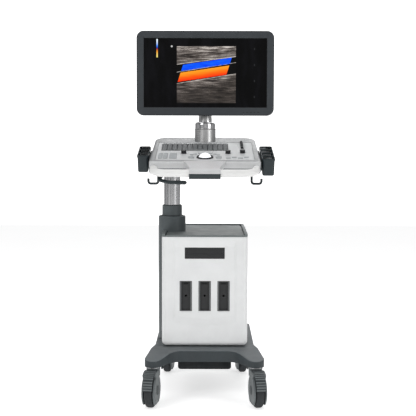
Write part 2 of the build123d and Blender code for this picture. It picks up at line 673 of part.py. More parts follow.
def frame_form():
    """The frame's outer form, with its rolled upper edge."""
    form = panel_solid(FRAME_SPLIT, FRAME_TOP)
    return fillet(edges_at(form, "Z", FRAME_TOP), FRAME_EDGE)


def panel_frame():
    """Silver upper frame of the panel around the key deck."""
    frame = frame_form()
    hollow = Pos(0, 0, FRAME_SPLIT - 1) * extrude(frame_plan(FRAME_WALL), -FRAME_ROOF - FRAME_SPLIT + 1)
    frame -= hollow
    frame -= Pos(0, 0, -DECK_THICKNESS) * extrude(deck_plan(), 20)
    frame -= Pos(0, 0, FRAME_SPLIT - 1) * extrude(deck_plan(5), 20)
    frame = PANEL * frame
    return frame - drum(POST_RADIUS, POST_FOOT, 1000, 0, POST_Y)


WELL_DEPTH = 4.6
ENCODERS = {"encoder_left": (-78.0, -37.0), "encoder_right": (84.5, -36.0), "encoder_gain": (138.0, -28.0)}
TGC_U = 139.0
TGC_ROWS = [44 + 13.5 * row for row in range(8)]
BALL_V = -100.0
BALL_RADIUS = 25.0
BALL_DROP = -8.0
SLIDER_HALF_TRAVEL = 9.0


def key_deck():
    """White deck plate with the keyboard bay, slider slots, knob holes and the trackball hole."""
    deck = Pos(0, 0, -DECK_THICKNESS) * extrude(deck_plan(SKIN_GAP), DECK_THICKNESS)
    bay = RectangleRounded(KEYS_WIDTH + 4, KEYS_DEPTH + 4, 3)
    deck -= Pos(KEYS_U, KEY_BAY_V, -WELL_DEPTH) * extrude(bay, 10)
    for place, outline in function_key_plans(0.5) + set_key_plans(0.5):
        deck -= Pos(*place, -WELL_DEPTH) * extrude(outline, 10)
    for v in TGC_ROWS:
        deck -= Pos(TGC_U, v, -3) * Box(2 * SLIDER_HALF_TRAVEL + 6, 2.4, 8)
    for u, v in ENCODERS.values():
        deck -= Pos(u, v, -3) * Cylinder(3 + RUNNING, 8)
    deck -= Pos(0, BALL_V, -3) * Cylinder(25.8, 8)
    return PANEL * deck - drum(POST_RADIUS + SKIN_GAP, POST_FOOT, 1000, 0, POST_Y)


KEY_COLUMNS = 13
KEY_ROWS = 6
KEY_PITCH = 19.0
KEYS_WIDTH = KEY_COLUMNS * KEY_PITCH
KEYS_DEPTH = KEY_ROWS * KEY_PITCH
KEY_BAY_V = 67.0
KEYS_U = -38.0
KEY_SIZE = 16.6
KEY_TOP = 2.6
KEY_UNDER = -2.2


def keycap(u, v, width, length, under, top):
    """A key with a slightly smaller top."""
    return Pos(u, v, under) * extrude(Rectangle(width, length), top - under, taper=6)


def keyboard_keys():
    """Alphanumeric keys in six rows, the front row with a long space bar."""
    keys = []
    for row in range(KEY_ROWS):
        v = KEY_BAY_V + (row - (KEY_ROWS - 1) / 2) * KEY_PITCH
        for column in range(KEY_COLUMNS):
            in_space_bar = row == 0 and 4 <= column <= 8
            if in_space_bar and column != 6:
                continue
            u = KEYS_U + (column - (KEY_COLUMNS - 1) / 2) * KEY_PITCH
            width = KEY_SIZE + 4 * KEY_PITCH if in_space_bar else KEY_SIZE
            keys.append(keycap(u, v, width, KEY_SIZE, KEY_UNDER, KEY_TOP))
    return PANEL * together(keys)


ARC_KEYS = 7
PAD_KEYS = ((-161.0, 15.0), (-143.0, 15.0), (-116.0, 26.0))
FREEZE_KEYS = ((84.0, -112.0), (106.0, -100.0), (128.0, -112.0), (150.0, -100.0))


def function_key_plans(gap=0.0):
    """Place and outline of each low key: two pads at the left, an arc over the ball, four at the right."""
    plans = []
    for row in range(4):
        for u, width in PAD_KEYS:
            plans.append(((u, -112 + 22 * row), RectangleRounded(width + 2 * gap, 14 + 2 * gap, 2.5 + gap)))
    for number in range(ARC_KEYS):
        angle = radians(35 + 110 / (ARC_KEYS - 1) * number)
        place = (60 * cos(angle), BALL_V + 8 + 52 * sin(angle))
        plans.append((place, Ellipse(6.5 + gap, 5 + gap)))
    for place in FREEZE_KEYS:
        plans.append((place, RectangleRounded(17 + 2 * gap, 8 + 2 * gap, 2.5 + gap)))
    return plans


def set_key_plans(gap=0.0):
    """Place and outline of the broad keys on either side of the trackball."""
    return [((side * 50, BALL_V - 2), RectangleRounded(20 + 2 * gap, 26 + 2 * gap, 6 + gap)) for side in (-1, 1)]


def low_keys(plans, height):
    """Keys that rise from their wells to one height, with a softened top."""
    caps = []
    for place, outline in plans:
        cap = Pos(*place, KEY_UNDER) * extrude(outline, height - KEY_UNDER)
        caps.append(fillet(edges_at(cap, "Z", height), 0.7))
    return PANEL * together(caps)


def function_keys():
    """Low function keys around the trackball and down the left side."""
    return low_keys(function_key_plans(), 2.4)


def set_keys():
    """Two broad keys on either side of the trackball."""
    return low_keys(set_key_plans(), 3.2)


def tgc_sliders():
    """Eight gain slider caps, each with a stem down through its slot."""
    caps = []
    for v in TGC_ROWS:
        cap = keycap(TGC_U, v, 9, 8, 0.4, 9)
        caps.append(cap + Pos(TGC_U, v, -3) * Box(2, 1.6, 7))
    return PANEL * together(caps)


def encoder(u, v):
    """Rotary knob with a softened top, on a thin shaft."""
    knob = Pos(u, v, 0.5) * extrude(Circle(10.4), 15.5)
    knob = fillet(edges_at(knob, "Z", 16), 1)
    return PANEL * (knob + Pos(u, v, -3) * Cylinder(3, 8))


def trackball():
    """White ball standing proud of the deck."""
    return PANEL * (Pos(0, BALL_V, BALL_DROP) * Sphere(BALL_RADIUS))


def trackball_ring():
    """Dark ring that holds the ball down."""
    ring = Pos(0, BALL_V, 0) * extrude(Circle(31), 4.2, taper=20)
    return PANEL * (ring - Pos(0, BALL_V, 2) * Cylinder(24.4, 12))


def handle_tube():
    """Bent front handle, plugged into the front face of the lower housing."""
    route = FilletPolyline(
        (-HANDLE_HALF, FRAME_FRONT + 30), (-HANDLE_HALF, HANDLE_V), (HANDLE_HALF, HANDLE_V),
        (HANDLE_HALF, FRAME_FRONT + 30), radius=HANDLE_BEND,
    )
    start = Plane(origin=route @ 0, z_dir=route % 0)
    tube = Pos(0, 0, HANDLE_W) * sweep(start * Circle(HANDLE_RADIUS), path=route)
    return PANEL * (tube - panel_solid(HOUSING_BOTTOM, FRAME_TOP))


SADDLE_BACK_HALF = 75.0
SADDLE_FRONT_HALF = 55.0
SADDLE_WRAP = 18.0
SADDLE_UNDER = -15.0
SADDLE_BACK = FRAME_FRONT + 9.0


def saddle_section(from_w, to_w):
    """Side view of the saddle over the handle, cut to a band of heights."""
    front_v = HANDLE_V - SADDLE_WRAP
    top_w = HANDLE_W + SADDLE_WRAP
    low_w = HANDLE_W - 17
    diagonal = SADDLE_WRAP * 0.7071
    outline = (Line((SADDLE_BACK, FRAME_TOP + 1.2), (HANDLE_V, top_w))
               + ThreePointArc((HANDLE_V, top_w), (HANDLE_V - diagonal, HANDLE_W + diagonal), (front_v, HANDLE_W))
               + Polyline((front_v, HANDLE_W), (front_v + 2, low_w), (HANDLE_V, low_w), (HANDLE_V + 16, HANDLE_W),
                          (FRAME_FRONT, SADDLE_UNDER), (SADDLE_BACK, SADDLE_UNDER), (SADDLE_BACK, FRAME_TOP + 1.2)))
    solid = extrude(Plane.YZ * make_face(outline), SADDLE_BACK_HALF, both=True)
    band = Pos(0, HANDLE_V, (from_w + to_w) / 2) * Box(400, 400, to_w - from_w)
    return solid & band


def handle_saddle():
    """Silver saddle over the middle of the handle, with a dark strip along its lower front."""
    plan = make_face(Polyline(
        (-SADDLE_BACK_HALF, SADDLE_BACK), (-SADDLE_FRONT_HALF, HANDLE_V + 12),
        (-SADDLE_FRONT_HALF, HANDLE_V - 40), (SADDLE_FRONT_HALF, HANDLE_V - 40),
        (SADDLE_FRONT_HALF, HANDLE_V + 12), (SADDLE_BACK_HALF, SADDLE_BACK), (-SADDLE_BACK_HALF, SADDLE_BACK)))
    column = Pos(0, 0, -60) * extrude(plan, 80)
    bore = bar_x(HANDLE_RADIUS, -90, 90, HANDLE_V, HANDLE_W)
    strip_top = HANDLE_W + 2
    cover = (saddle_section(strip_top, 20) & column) - bore - frame_form()
    cover = max(cover.solids(), key=lambda s: s.volume)
    strip = (saddle_section(-80, strip_top) & column) - bore
    strip &= Pos(0, HANDLE_V - 20, HANDLE_W - 20) * Box(200, 40 + HANDLE_RADIUS, 60)
    return PANEL * together([cover, max(strip.solids(), key=lambda s: s.volume)])


CUP_PITCH = 52.0
CUP_HEIGHT = 61.0
CUP_IN = 205.0
CUP_RIM = 1.0


def holder_cup(side, v_front, outer):
    """One tapered probe cup, open at the top, with a cable slot in its outer wall."""
    width = outer - CUP_IN
    u = (outer + CUP_IN) / 2
    v = v_front + CUP_PITCH / 2
    length = CUP_PITCH - 0.6
    body = Pos(u, v, CUP_RIM) * extrude(RectangleRounded(width, length, 9), -CUP_HEIGHT, taper=1.5)
    body = fillet(edges_at(body, "Z", CUP_RIM - CUP_HEIGHT), 6)
    well = Pos(u, v, CUP_RIM + 1) * extrude(RectangleRounded(width - 6, length - 6, 7), -CUP_HEIGHT + 4, taper=1.5)
    cup = body - well
    lip = Pos(u, v, CUP_RIM - 6) * extrude(RectangleRounded(width + 3, length, 10), 6)
    cup += lip - Pos(u, v, CUP_RIM - 8) * extrude(RectangleRounded(width - 6, length - 6, 7), 10)
    cup -= Pos(outer, v, CUP_RIM - 14) * Box(16, 15, 44)
    return cup if side > 0 else mirror(cup, Plane.YZ)


def holder_cups(side, first, count, outer):
    """A rail on the panel's side with a row of probe cups clipped to it."""
    last = first + count * CUP_PITCH
    rail = block(FRAME_HALF_WIDTH, CUP_IN - 1.5, first + 4, last - 4, -40, -12)
    rail -= Pos(0, 0, -60) * extrude(frame_plan(), 100)
    if side < 0:
        rail = mirror(rail, Plane.YZ)
    cups = [holder_cup(side, first + CUP_PITCH * n, outer) for n in range(count)]
    return PANEL * together([rail] + cups)


LEFT_CUPS = (-90.0, 3, 245.5)
RIGHT_CUPS = (-138.0, 4, 250.5)
HOOK_ROD = 4.4
HOOK_Y = -180.0
HOOK_FOOT_Z = 797.0


def cable_hooks():
    """Two open wire hooks under the front corners for the probe cables."""
    hooks = []
    for side in (-1, 1):
        inner = side * 171.0
        outer = side * 207.0
        route = FilletPolyline((inner, HOOK_Y, 870), (inner, HOOK_Y, HOOK_FOOT_Z), (outer, HOOK_Y, HOOK_FOOT_Z),
                               (outer, HOOK_Y, HOOK_FOOT_Z + 19), radius=9)
        start = Plane(origin=route @ 0, z_dir=route % 0)
        hooks.append(sweep(start * Circle(HOOK_ROD), path=route))
    return together(hooks) - PANEL * panel_solid(HOUSING_BOTTOM, FRAME_TOP)


def lift_lever():
    """Height release lever: a thin rod through the housing's lug and a thick curved grip under the handle."""
    rod_route = FilletPolyline((LUG_WIDTH + 3, 0, 0), (-40, 0, 0), (-50, -22, 0), radius=10)
    rod = sweep(Plane(origin=rod_route @ 0, z_dir=rod_route % 0) * Circle(LEVER_ROD), path=rod_route)
    grip_route = FilletPolyline((-50, -20, 0), (-57, -70, 0), (-22, -104, 0), (LEVER_TIP, -LEVER_REACH, 0), radius=26)
    grip = sweep(Plane(origin=grip_route @ 0, z_dir=grip_route % 0) * Circle(GRIP_RADIUS), path=grip_route)
    grip += Pos(LEVER_TIP, -LEVER_REACH, 0) * Sphere(GRIP_RADIUS)
    collars = bar_x(5, -3.3, -0.3, 0, 0) + bar_x(5, LUG_WIDTH + 0.3, LUG_WIDTH + 3.3, 0, 0)
    return LEVER_PLACE * (rod + grip + collars)


def monitor_post():
    """Chromed post that rises from the back of the panel, bored for the monitor's spigot."""
    post = drum(POST_RADIUS, POST_FOOT, POST_TOP, 0, POST_Y)
    post = fillet(edges_at(post, "Z", POST_TOP), 1)
    return post - drum(20 + RUNNING, 958, POST_TOP + 1, 0, POST_Y)


# ---- monitor ------------------------------------------------------------------------------------
NECK_TOP = 1176.0
TILT_PIN = 6.0


def monitor_neck():
    """Chrome cap with a tapered neck and the barrel of the tilt hinge."""
    cap = drum(39.5, POST_TOP + 0.4, CAP_TOP, 0, POST_Y)
    cap = fillet(edges_at(cap, "Z", CAP_TOP), 10)
    spigot = drum(20, 960, POST_TOP + 0.4, 0, POST_Y)
    cone = Pos(0, POST_Y, CAP_TOP) * extrude(Circle(26.2), 40, taper=3.5)
    mast = drum(17, CAP_TOP + 40, NECK_TOP + 6, 0, POST_Y)
    barrel = bar_x(15, -21, 21, POST_Y, TILT_Z)
    pin = bar_x(TILT_PIN, -33, 33, POST_Y, TILT_Z)
    return cap + spigot + cone + mast + barrel + pin


BACK_BULGE = 24.0


def tilt_bracket():
    """Monitor plate with two ears that turn on the neck's hinge pin."""
    plate = upright(110, 110, BACK_BULGE, BACK_BULGE + 4, 6, z=TILT_Z)
    for side in (-1, 1):
        near = side * 21.3
        far = side * 31.0
        ear = bar_x(15, min(near, far), max(near, far), POST_Y, TILT_Z)
        ear += block(min(near, far), max(near, far), BACK_BULGE + 3, POST_Y, TILT_Z - 15, TILT_Z + 15)
        plate += ear
    plate -= bar_x(TILT_PIN + RUNNING, -40, 40, POST_Y, TILT_Z)
    for dx in (-50, 50):
        for dz in (-50, 50):
            plate -= bar_y(2.2, BACK_BULGE - 1, BACK_BULGE + 6, dx, TILT_Z + dz)
    return plate


def monitor_bezel():
    """Front frame of the monitor around the screen window."""
    back = MONITOR_FRONT + 14
    bezel = upright(MONITOR_WIDTH, MONITOR_HEIGHT, MONITOR_FRONT, back, MONITOR_CORNER, z=MONITOR_CENTRE_Z)
    bezel = fillet(edges_at(bezel, "Y", MONITOR_FRONT), 3.5)
    window_z = MONITOR_CENTRE_Z + SCREEN_RAISE
    bezel -= upright(SCREEN_WIDTH, SCREEN_HEIGHT, MONITOR_FRONT - 1, back + 1, 1, z=window_z)
    bezel -= upright(SCREEN_WIDTH + 9, SCREEN_HEIGHT + 9, MONITOR_FRONT + 3, back + 1, 2, z=window_z)
    return bezel


def screen():
    """Display panel held behind the bezel's window."""
    window_z = MONITOR_CENTRE_Z + SCREEN_RAISE
    return upright(SCREEN_WIDTH + 8, SCREEN_HEIGHT + 8, MONITOR_FRONT + 3, MONITOR_FRONT + 9, 1.5, z=window_z)


def monitor_rear_cover():
    """Hollow back of the monitor, stepped out in the middle."""
    front = MONITOR_FRONT + 14

    def form(inset):
        rim = upright(MONITOR_WIDTH - 3 - 2 * inset, MONITOR_HEIGHT - 3 - 2 * inset, front, front + 9 - inset,
                      MONITOR_CORNER - 1.5 - inset, z=MONITOR_CENTRE_Z)
        near = Pos(0, front + 9 - inset, MONITOR_CENTRE_Z) * Rot(-90, 0, 0)
        far = Pos(0, BACK_BULGE - inset, MONITOR_CENTRE_Z) * Rot(-90, 0, 0)
        wide = near * RectangleRounded(MONITOR_WIDTH - 12 - 2 * inset, MONITOR_HEIGHT - 12 - 2 * inset, 22)
        narrow = far * RectangleRounded(320 - 2 * inset, 190 - 2 * inset, 22)
        return rim + loft([wide.face(), narrow.face()])

    cover = form(0) - form(3)
    return cover


# ---- assembly -----------------------------------------------------------------------------------
def build_all():
    """Every node by name, in datum position."""
    parts["base_shell"] = base_shell()
    parts["battery_box"] = battery_box()
    parts["caster_stems"] = caster_stems()
    casters()
    parts["trunk_front_panel"] = trunk_front_panel()
    parts["trunk_side_covers"] = trunk_side_covers()
    parts["trunk_rear_cover"] = trunk_rear_cover()
    parts["trunk_top_tray"] = trunk_top_tray()
    parts["trunk_chassis"] = trunk_chassis()
    parts["circuit_boards"] = circuit_boards()
    parts["power_supply"] = power_supply()
    parts["optical_drive"] = optical_drive()
    parts["disc_tray"] = disc_tray()
    parts["eject_button"] = eject_button()
    parts["probe_sockets"] = probe_sockets()
    parts["socket_bezels"] = socket_bezels()
    parts["power_inlet"] = power_inlet()
    parts["mains_switch"] = mains_switch()
    parts["cooling_fan"] = cooling_fan()
    parts["column_housing"] = column_housing()
    parts["column_collar"] = column_collar()
    parts["lift_tube"] = lift_tube()
    parts["gas_spring_cylinder"] = gas_spring_cylinder()
    parts["gas_spring_rod"] = gas_spring_rod()
    parts["lift_head"] = lift_head()
    parts["panel_lower_housing"] = panel_lower_housing()
    parts["panel_frame"] = panel_frame()
    parts["key_deck"] = key_deck()
    parts["keyboard_keys"] = keyboard_keys()
    parts["function_keys"] = function_keys()
    parts["set_keys"] = set_keys()
    parts["tgc_sliders"] = tgc_sliders()
    for name, (u, v) in ENCODERS.items():
        parts[name] = encoder(u, v)
    parts["trackball"] = trackball()
    parts["trackball_ring"] = trackball_ring()
    parts["handle_tube"] = handle_tube()
    parts["handle_saddle"] = handle_saddle()
    parts["holder_cups_left"] = holder_cups(-1, *LEFT_CUPS)
    parts["holder_cups_right"] = holder_cups(1, *RIGHT_CUPS)
    parts["cable_hooks"] = cable_hooks()
    parts["lift_lever"] = lift_lever()
    parts["monitor_post"] = monitor_post()
    parts["monitor_neck"] = monitor_neck()
    parts["tilt_bracket"] = tilt_bracket()
    parts["monitor_bezel"] = monitor_bezel()
    parts["monitor_rear_cover"] = monitor_rear_cover()
    parts["screen"] = screen()


build_all()
os.makedirs("parts", exist_ok=True)
for name, shape in parts.items():
    export_step(ROW_SHIFT * shape, f"parts/{name}.step")
    print(name, len(shape.solids()), round(shape.volume / 1000, 1), "cm3")
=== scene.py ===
import json
import logging
import math
from dataclasses import dataclass, field
from enum import Enum
from typing import Callable, Dict, Iterable, List, Optional, Sequence, Tuple

import bpy
from mathutils import Matrix, Vector


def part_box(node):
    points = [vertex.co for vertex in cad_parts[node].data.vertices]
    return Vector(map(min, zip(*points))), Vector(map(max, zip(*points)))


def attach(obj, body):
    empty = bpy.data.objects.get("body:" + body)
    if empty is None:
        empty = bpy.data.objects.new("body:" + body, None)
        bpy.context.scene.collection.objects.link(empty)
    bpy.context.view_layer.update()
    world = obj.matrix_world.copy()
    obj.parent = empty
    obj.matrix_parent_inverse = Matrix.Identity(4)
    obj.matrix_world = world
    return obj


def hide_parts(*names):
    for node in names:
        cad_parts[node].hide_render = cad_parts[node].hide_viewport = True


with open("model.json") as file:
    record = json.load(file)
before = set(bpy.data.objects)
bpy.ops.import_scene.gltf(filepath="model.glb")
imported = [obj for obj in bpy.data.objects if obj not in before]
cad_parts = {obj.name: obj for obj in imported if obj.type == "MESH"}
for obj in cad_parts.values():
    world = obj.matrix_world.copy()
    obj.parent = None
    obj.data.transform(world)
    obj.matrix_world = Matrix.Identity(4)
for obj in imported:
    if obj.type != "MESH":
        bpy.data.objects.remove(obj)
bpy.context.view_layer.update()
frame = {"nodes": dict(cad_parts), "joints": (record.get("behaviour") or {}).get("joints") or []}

Colour = Tuple[float, float, float]
Piece = bpy.types.Object
Socket = bpy.types.NodeSocket
Tree = bpy.types.NodeTree
Material = bpy.types.Material
Face = bpy.types.MeshPolygon
MM = 0.001
LOG = logging.getLogger("ultrasound_machine")


# ---- node wiring --------------------------------------------------------------------------------
class Graph:
    """A node tree being wired, with a short method for each node that repeats."""

    def __init__(self, tree: Tree) -> None:
        """Starts on an empty tree.

        Args:
            tree: the material's, world's or group's node tree.
        """
        self.tree = tree
        tree.nodes.clear()

    def node(self, kind: str, **settings: object) -> bpy.types.Node:
        """Adds a node.

        Args:
            kind: the node's type without its ShaderNode prefix.
            settings: attributes set on the node.

        Returns:
            The new node.
        """
        made = self.tree.nodes.new("ShaderNode" + kind)
        for name, value in settings.items():
            setattr(made, name, value)
        return made

    def feed(self, socket: Socket, value: object) -> None:
        """Links a socket to another, or sets its constant.

        Args:
            socket: the input that is fed.
            value: an output socket, a number, a vector or a colour.
        """
        if isinstance(value, Socket):
            self.tree.links.new(value, socket)
        elif isinstance(value, tuple) and socket.type == "RGBA":
            socket.default_value = (*value[:3], 1.0)
        else:
            socket.default_value = value

    def math(self, operation: str, *values: object, clamp: bool = False) -> Socket:
        """Adds one Math node on up to three values.

        Args:
            operation: the Math node's operation.
            values: sockets or numbers.
            clamp: whether the result stays from 0 to 1.

        Returns:
            The result.
        """
        made = self.node("Math", operation=operation, use_clamp=clamp)
        for socket, value in zip(made.inputs, values):
            self.feed(socket, value)
        return made.outputs[0]

    def times(self, first: object, second: object) -> Socket:
        """The product of two values."""
        return self.math("MULTIPLY", first, second)

    def plus(self, first: object, second: object, clamp: bool = False) -> Socket:
        """The sum of two values."""
        return self.math("ADD", first, second, clamp=clamp)

    def minus(self, first: object, second: object) -> Socket:
        """The first value less the second."""
        return self.math("SUBTRACT", first, second)

    def parts(self, vector: Socket) -> Dict[str, Socket]:
        """The X, Y and Z of a vector.

        Args:
            vector: the vector that is split.

        Returns:
            Its three parts by letter.
        """
        split = self.node("SeparateXYZ")
        self.feed(split.inputs[0], vector)
        return dict(split.outputs.items())

    def surface(self, sockets: Dict[str, object]) -> None:
        """Ends a material in a Principled shader.

        Args:
            sockets: what each named input of the shader is fed or set to.
        """
        shader = self.node("BsdfPrincipled")
        for name, value in sockets.items():
            self.feed(shader.inputs[name], value)
        self.feed(self.node("OutputMaterial").inputs["Surface"], shader.outputs[0])

    def place(self) -> Socket:
        """Object coordinates, which are the row frame's metres."""
        return self.node("TexCoord").outputs["Object"]

    def stretched(self, vector: Socket, scale: Tuple[float, float, float],
                  turn: Tuple[float, float, float] = (0.0, 0.0, 0.0)) -> Socket:
        """Coordinates scaled and turned by a Mapping node.

        Args:
            vector: the coordinates.
            scale: the factor along each axis.
            turn: the turn about each axis, in radians.

        Returns:
            The new coordinates.
        """
        made = self.node("Mapping")
        self.feed(made.inputs["Vector"], vector)
        made.inputs["Rotation"].default_value = turn
        made.inputs["Scale"].default_value = scale
        return made.outputs[0]

    def noise(self, vector: Socket, scale: object, detail: float = 3.0,
              rough: float = 0.5) -> Socket:
        """Fractal noise from 0 to 1 at a scale in features per metre.

        Args:
            vector: the coordinates.
            scale: how many features there are in a metre.
            detail: how many finer layers are added.
            rough: how strong the finer layers are.

        Returns:
            The noise.
        """
        made = self.node("TexNoise")
        self.feed(made.inputs["Vector"], vector)
        self.feed(made.inputs["Scale"], scale)
        made.inputs["Detail"].default_value = detail
        made.inputs["Roughness"].default_value = rough
        return made.outputs["Fac"]

    def between(self, value: Socket, low: float, high: float,
                to_low: float = 0.0, to_high: float = 1.0) -> Socket:
        """Maps low..high smoothly to to_low..to_high, clamped.

        Args:
            value: the value that is mapped.
            low: the value that gives to_low.
            high: the value that gives to_high.
            to_low: the result at low.
            to_high: the result at high.

        Returns:
            The mapped value.
        """
        made = self.node("MapRange", interpolation_type="SMOOTHSTEP")
        for name, amount in (("Value", value), ("From Min", low), ("From Max", high),
                             ("To Min", to_low), ("To Max", to_high)):
            self.feed(made.inputs[name], amount)
        return made.outputs[0]

    def mix(self, factor: object, first: object, second: object) -> Socket:
        """Mixes two colours.

        Args:
            factor: 0 for the first colour, 1 for the second.
            first: a colour or a socket.
            second: a colour or a socket.

        Returns:
            The mixed colour.
        """
        made = self.node("Mix", data_type="RGBA")
        for index, value in ((0, factor), (6, first), (7, second)):
            self.feed(made.inputs[index], value)
        return made.outputs[2]

    def ramp(self, factor: Socket, stops: Sequence[Tuple[float, Colour]]) -> Socket:
        """Colours a factor by a ramp of (position, colour) stops.

        Args:
            factor: where on the ramp the colour is taken.
            stops: the position and colour of each stop, in order.

        Returns:
            The colour.
        """
        made = self.node("ValToRGB")
        elements = made.color_ramp.elements
        while len(elements) < len(stops):
            elements.new(0.5)
        for element, (position, colour) in zip(elements, stops):
            element.position = position
            element.color = (*colour, 1.0)
        self.feed(made.inputs[0], factor)
        return made.outputs[0]

    def placed(self, group: Tree, values: Dict[str, float]) -> Dict[str, Socket]:
        """Places a shared group with some inputs set and gives its outputs by name.

        Args:
            group: the shared group.
            values: the inputs that differ from the group's own.

        Returns:
            The group's outputs.
        """
        made = self.node("Group", node_tree=group)
        for name, value in values.items():
            made.inputs[name].default_value = value
        return dict(made.outputs.items())

    def bump(self, height: Socket, distance: float, strength: float,
             normal: Optional[Socket] = None) -> Socket:
        """A normal from a height, laid over another normal if one is given.

        Args:
            height: the height, from 0 to 1.
            distance: how far 0 and 1 lie apart, in metres.
            strength: how much of the relief is used.
            normal: the normal underneath.

        Returns:
            The bumped normal.
        """
        made = self.node("Bump")
        made.inputs["Distance"].default_value = distance
        made.inputs["Strength"].default_value = strength
        self.feed(made.inputs["Height"], height)
        if normal is not None:
            self.feed(made.inputs["Normal"], normal)
        return made.outputs[0]


def new_group(name: str, inputs: Sequence[Tuple[str, float]],
              outputs: Sequence[Tuple[str, str]]) -> Tuple[Tree, Graph, Dict, Dict]:
    """Starts a shader node group with its sockets.

    Args:
        name: the group's name.
        inputs: (name, default) of each number that goes in.
        outputs: (name, socket type) of each result.

    Returns:
        The group, its graph, its inputs by name and its output sockets by name.
    """
    tree = bpy.data.node_groups.new(name, "ShaderNodeTree")
    for title, default in inputs:
        socket = tree.interface.new_socket(title, in_out="INPUT", socket_type="NodeSocketFloat")
        socket.default_value = default
    for title, kind in outputs:
        tree.interface.new_socket(title, in_out="OUTPUT", socket_type=kind)
    graph = Graph(tree)
    entry = tree.nodes.new("NodeGroupInput")
    leave = tree.nodes.new("NodeGroupOutput")
    return tree, graph, dict(entry.outputs.items()), dict(leave.inputs.items())


def scaled(colour: Colour, factor: float, lift: float = 0.0) -> Colour:
    """A colour times a factor, with a little added, and never above white."""
    return tuple(min(1.0, c * factor + lift) for c in colour)


class Effects:
    """The shader node groups that more than one finish uses, each built once."""

    def __init__(self) -> None:
        """Builds the four groups."""
        self.edges = self._edges()
        self.grain = self._grain()
        self.dust = self._dust()
        self.handling = self._handling()

    @staticmethod
    def _edges() -> Tree:
        """Softened edges and the worn places along them; on the caster pedals this mask also carries a
        painted highlight on the rib tops.

        Returns:
            The group.
        """
        tree, graph, inputs, outputs = new_group(
            "worn_and_lit_edges", [("Radius", 0.8 * MM), ("Patchiness", 60.0)],
            [("Mask", "NodeSocketFloat"), ("Normal", "NodeSocketVector")])
        soft = graph.node("Bevel", samples=6)
        graph.feed(soft.inputs["Radius"], inputs["Radius"])
        sharp = graph.node("NewGeometry").outputs["Normal"]
        facing = graph.node("VectorMath", operation="DOT_PRODUCT")
        graph.feed(facing.inputs[0], soft.outputs[0])
        graph.feed(facing.inputs[1], sharp)
        edge = graph.between(facing.outputs["Value"], 0.995, 0.90)
        patches = graph.between(graph.noise(graph.place(), inputs["Patchiness"], 4.0, 0.6), 0.45, 0.68)
        graph.feed(outputs["Mask"], graph.times(edge, patches))
        graph.feed(outputs["Normal"], soft.outputs[0])
        return tree

    @staticmethod
    def _grain() -> Tree:
        """Fine moulded or cast grain with slow mottling of the tone.

        Returns:
            The group.
        """
        tree, graph, inputs, outputs = new_group(
            "fine_grain", [("Scale", 1500.0), ("Mottle Scale", 14.0)],
            [("Height", "NodeSocketFloat"), ("Mottle", "NodeSocketFloat")])
        place = graph.place()
        fine = graph.noise(place, inputs["Scale"], 2.0, 0.55)
        cells = graph.node("TexVoronoi", feature="SMOOTH_F1")
        graph.feed(cells.inputs["Vector"], place)
        graph.feed(cells.inputs["Scale"], graph.times(inputs["Scale"], 0.6))
        height = graph.plus(graph.times(fine, 0.6), graph.times(cells.outputs["Distance"], 0.4))
        graph.feed(outputs["Height"], height)
        slow = graph.noise(place, inputs["Mottle Scale"], 4.0, 0.62)
        graph.feed(outputs["Mottle"], graph.between(slow, 0.3, 0.7))
        return tree

    @staticmethod
    def _dust() -> Tree:
        """Dust that settles on what faces up, thicker in soft drifts.

        Returns:
            The group.
        """
        tree, graph, inputs, outputs = new_group(
            "settled_dust", [("Drift Scale", 22.0)], [("Mask", "NodeSocketFloat")])
        coords = graph.node("TexCoord")
        upward = graph.between(graph.parts(coords.outputs["Normal"])["Z"], 0.55, 0.98)
        drifts = graph.noise(coords.outputs["Object"], inputs["Drift Scale"], 5.0, 0.65)
        graph.feed(outputs["Mask"], graph.times(upward, graph.between(drifts, 0.4, 0.75)))
        return tree

    @staticmethod
    def _handling() -> Tree:
        """Smears from hands and wiping, long in one direction, with a few hairline scratches.

        Returns:
            The group.
        """
        tree, graph, inputs, outputs = new_group(
            "handling_marks", [("Smear Scale", 30.0), ("Scratch Scale", 90.0)],
            [("Smears", "NodeSocketFloat"), ("Scratches", "NodeSocketFloat")])
        place = graph.place()
        wiped = graph.stretched(place, (1.0, 1.0, 0.35), (0.0, 0.5, 0.3))
        smears = graph.noise(wiped, inputs["Smear Scale"], 5.0, 0.6)
        graph.feed(outputs["Smears"], graph.between(smears, 0.42, 0.66))
        drawn = graph.stretched(place, (1.0, 0.06, 0.3), (0.4, 0.9, 0.7))
        lines = graph.between(graph.noise(drawn, inputs["Scratch Scale"], 2.0, 0.4), 0.665, 0.70)
        spread = graph.between(graph.noise(place, inputs["Smear Scale"], 2.0, 0.5), 0.5, 0.62)
        graph.feed(outputs["Scratches"], graph.times(lines, spread))
        return tree


# ---- finishes -----------------------------------------------------------------------------------
class Finish(Enum):
    """The finishes found on the machine, each named after what it is used for."""

    WHITE_CASING = "white_casing"
    KEY_DECK = "key_deck_white"
    HANDLE_WHITE = "handle_white"
    SLATE_CASING = "slate_casing"
    SLATE_TRAY = "slate_tray"
    COLUMN_SLATE = "column_slate"
    BASE_SLATE = "base_slate"
    BASE_SIDE = "base_side"
    TUB_BLACK = "tub_black"
    CASTER_SHELL = "caster_shell"
    CASTER_PEDAL = "caster_pedal"
    CASTER_HUB = "caster_hub"
    TYRE = "tyre_rubber"
    CUP_SLATE = "cup_slate"
    SOFT_BLACK = "soft_black"
    SOCKET_BLACK = "socket_black"
    SOCKET_RAIL = "socket_rail"
    DRIVE_BLACK = "drive_black"
    SILVER_PAINT = "silver_paint"
    SILVER_SADDLE = "silver_saddle"
    SILVER_POST = "silver_post"
    CHROME = "chrome"
    BRUSHED_STEEL = "brushed_steel"
    ZINC_SHEET = "zinc_sheet"
    MONITOR_SLATE = "monitor_slate"
    MONITOR_EDGE = "monitor_edge"
    KEY_CAP = "key_cap"
    KEY_LIGHT = "key_light"
    KNOB_BLACK = "knob_black"
    BALL = "ball_white"
    SCREEN = "screen_picture"
    BOARD = "board_green"
    PRINT = "deck_print"


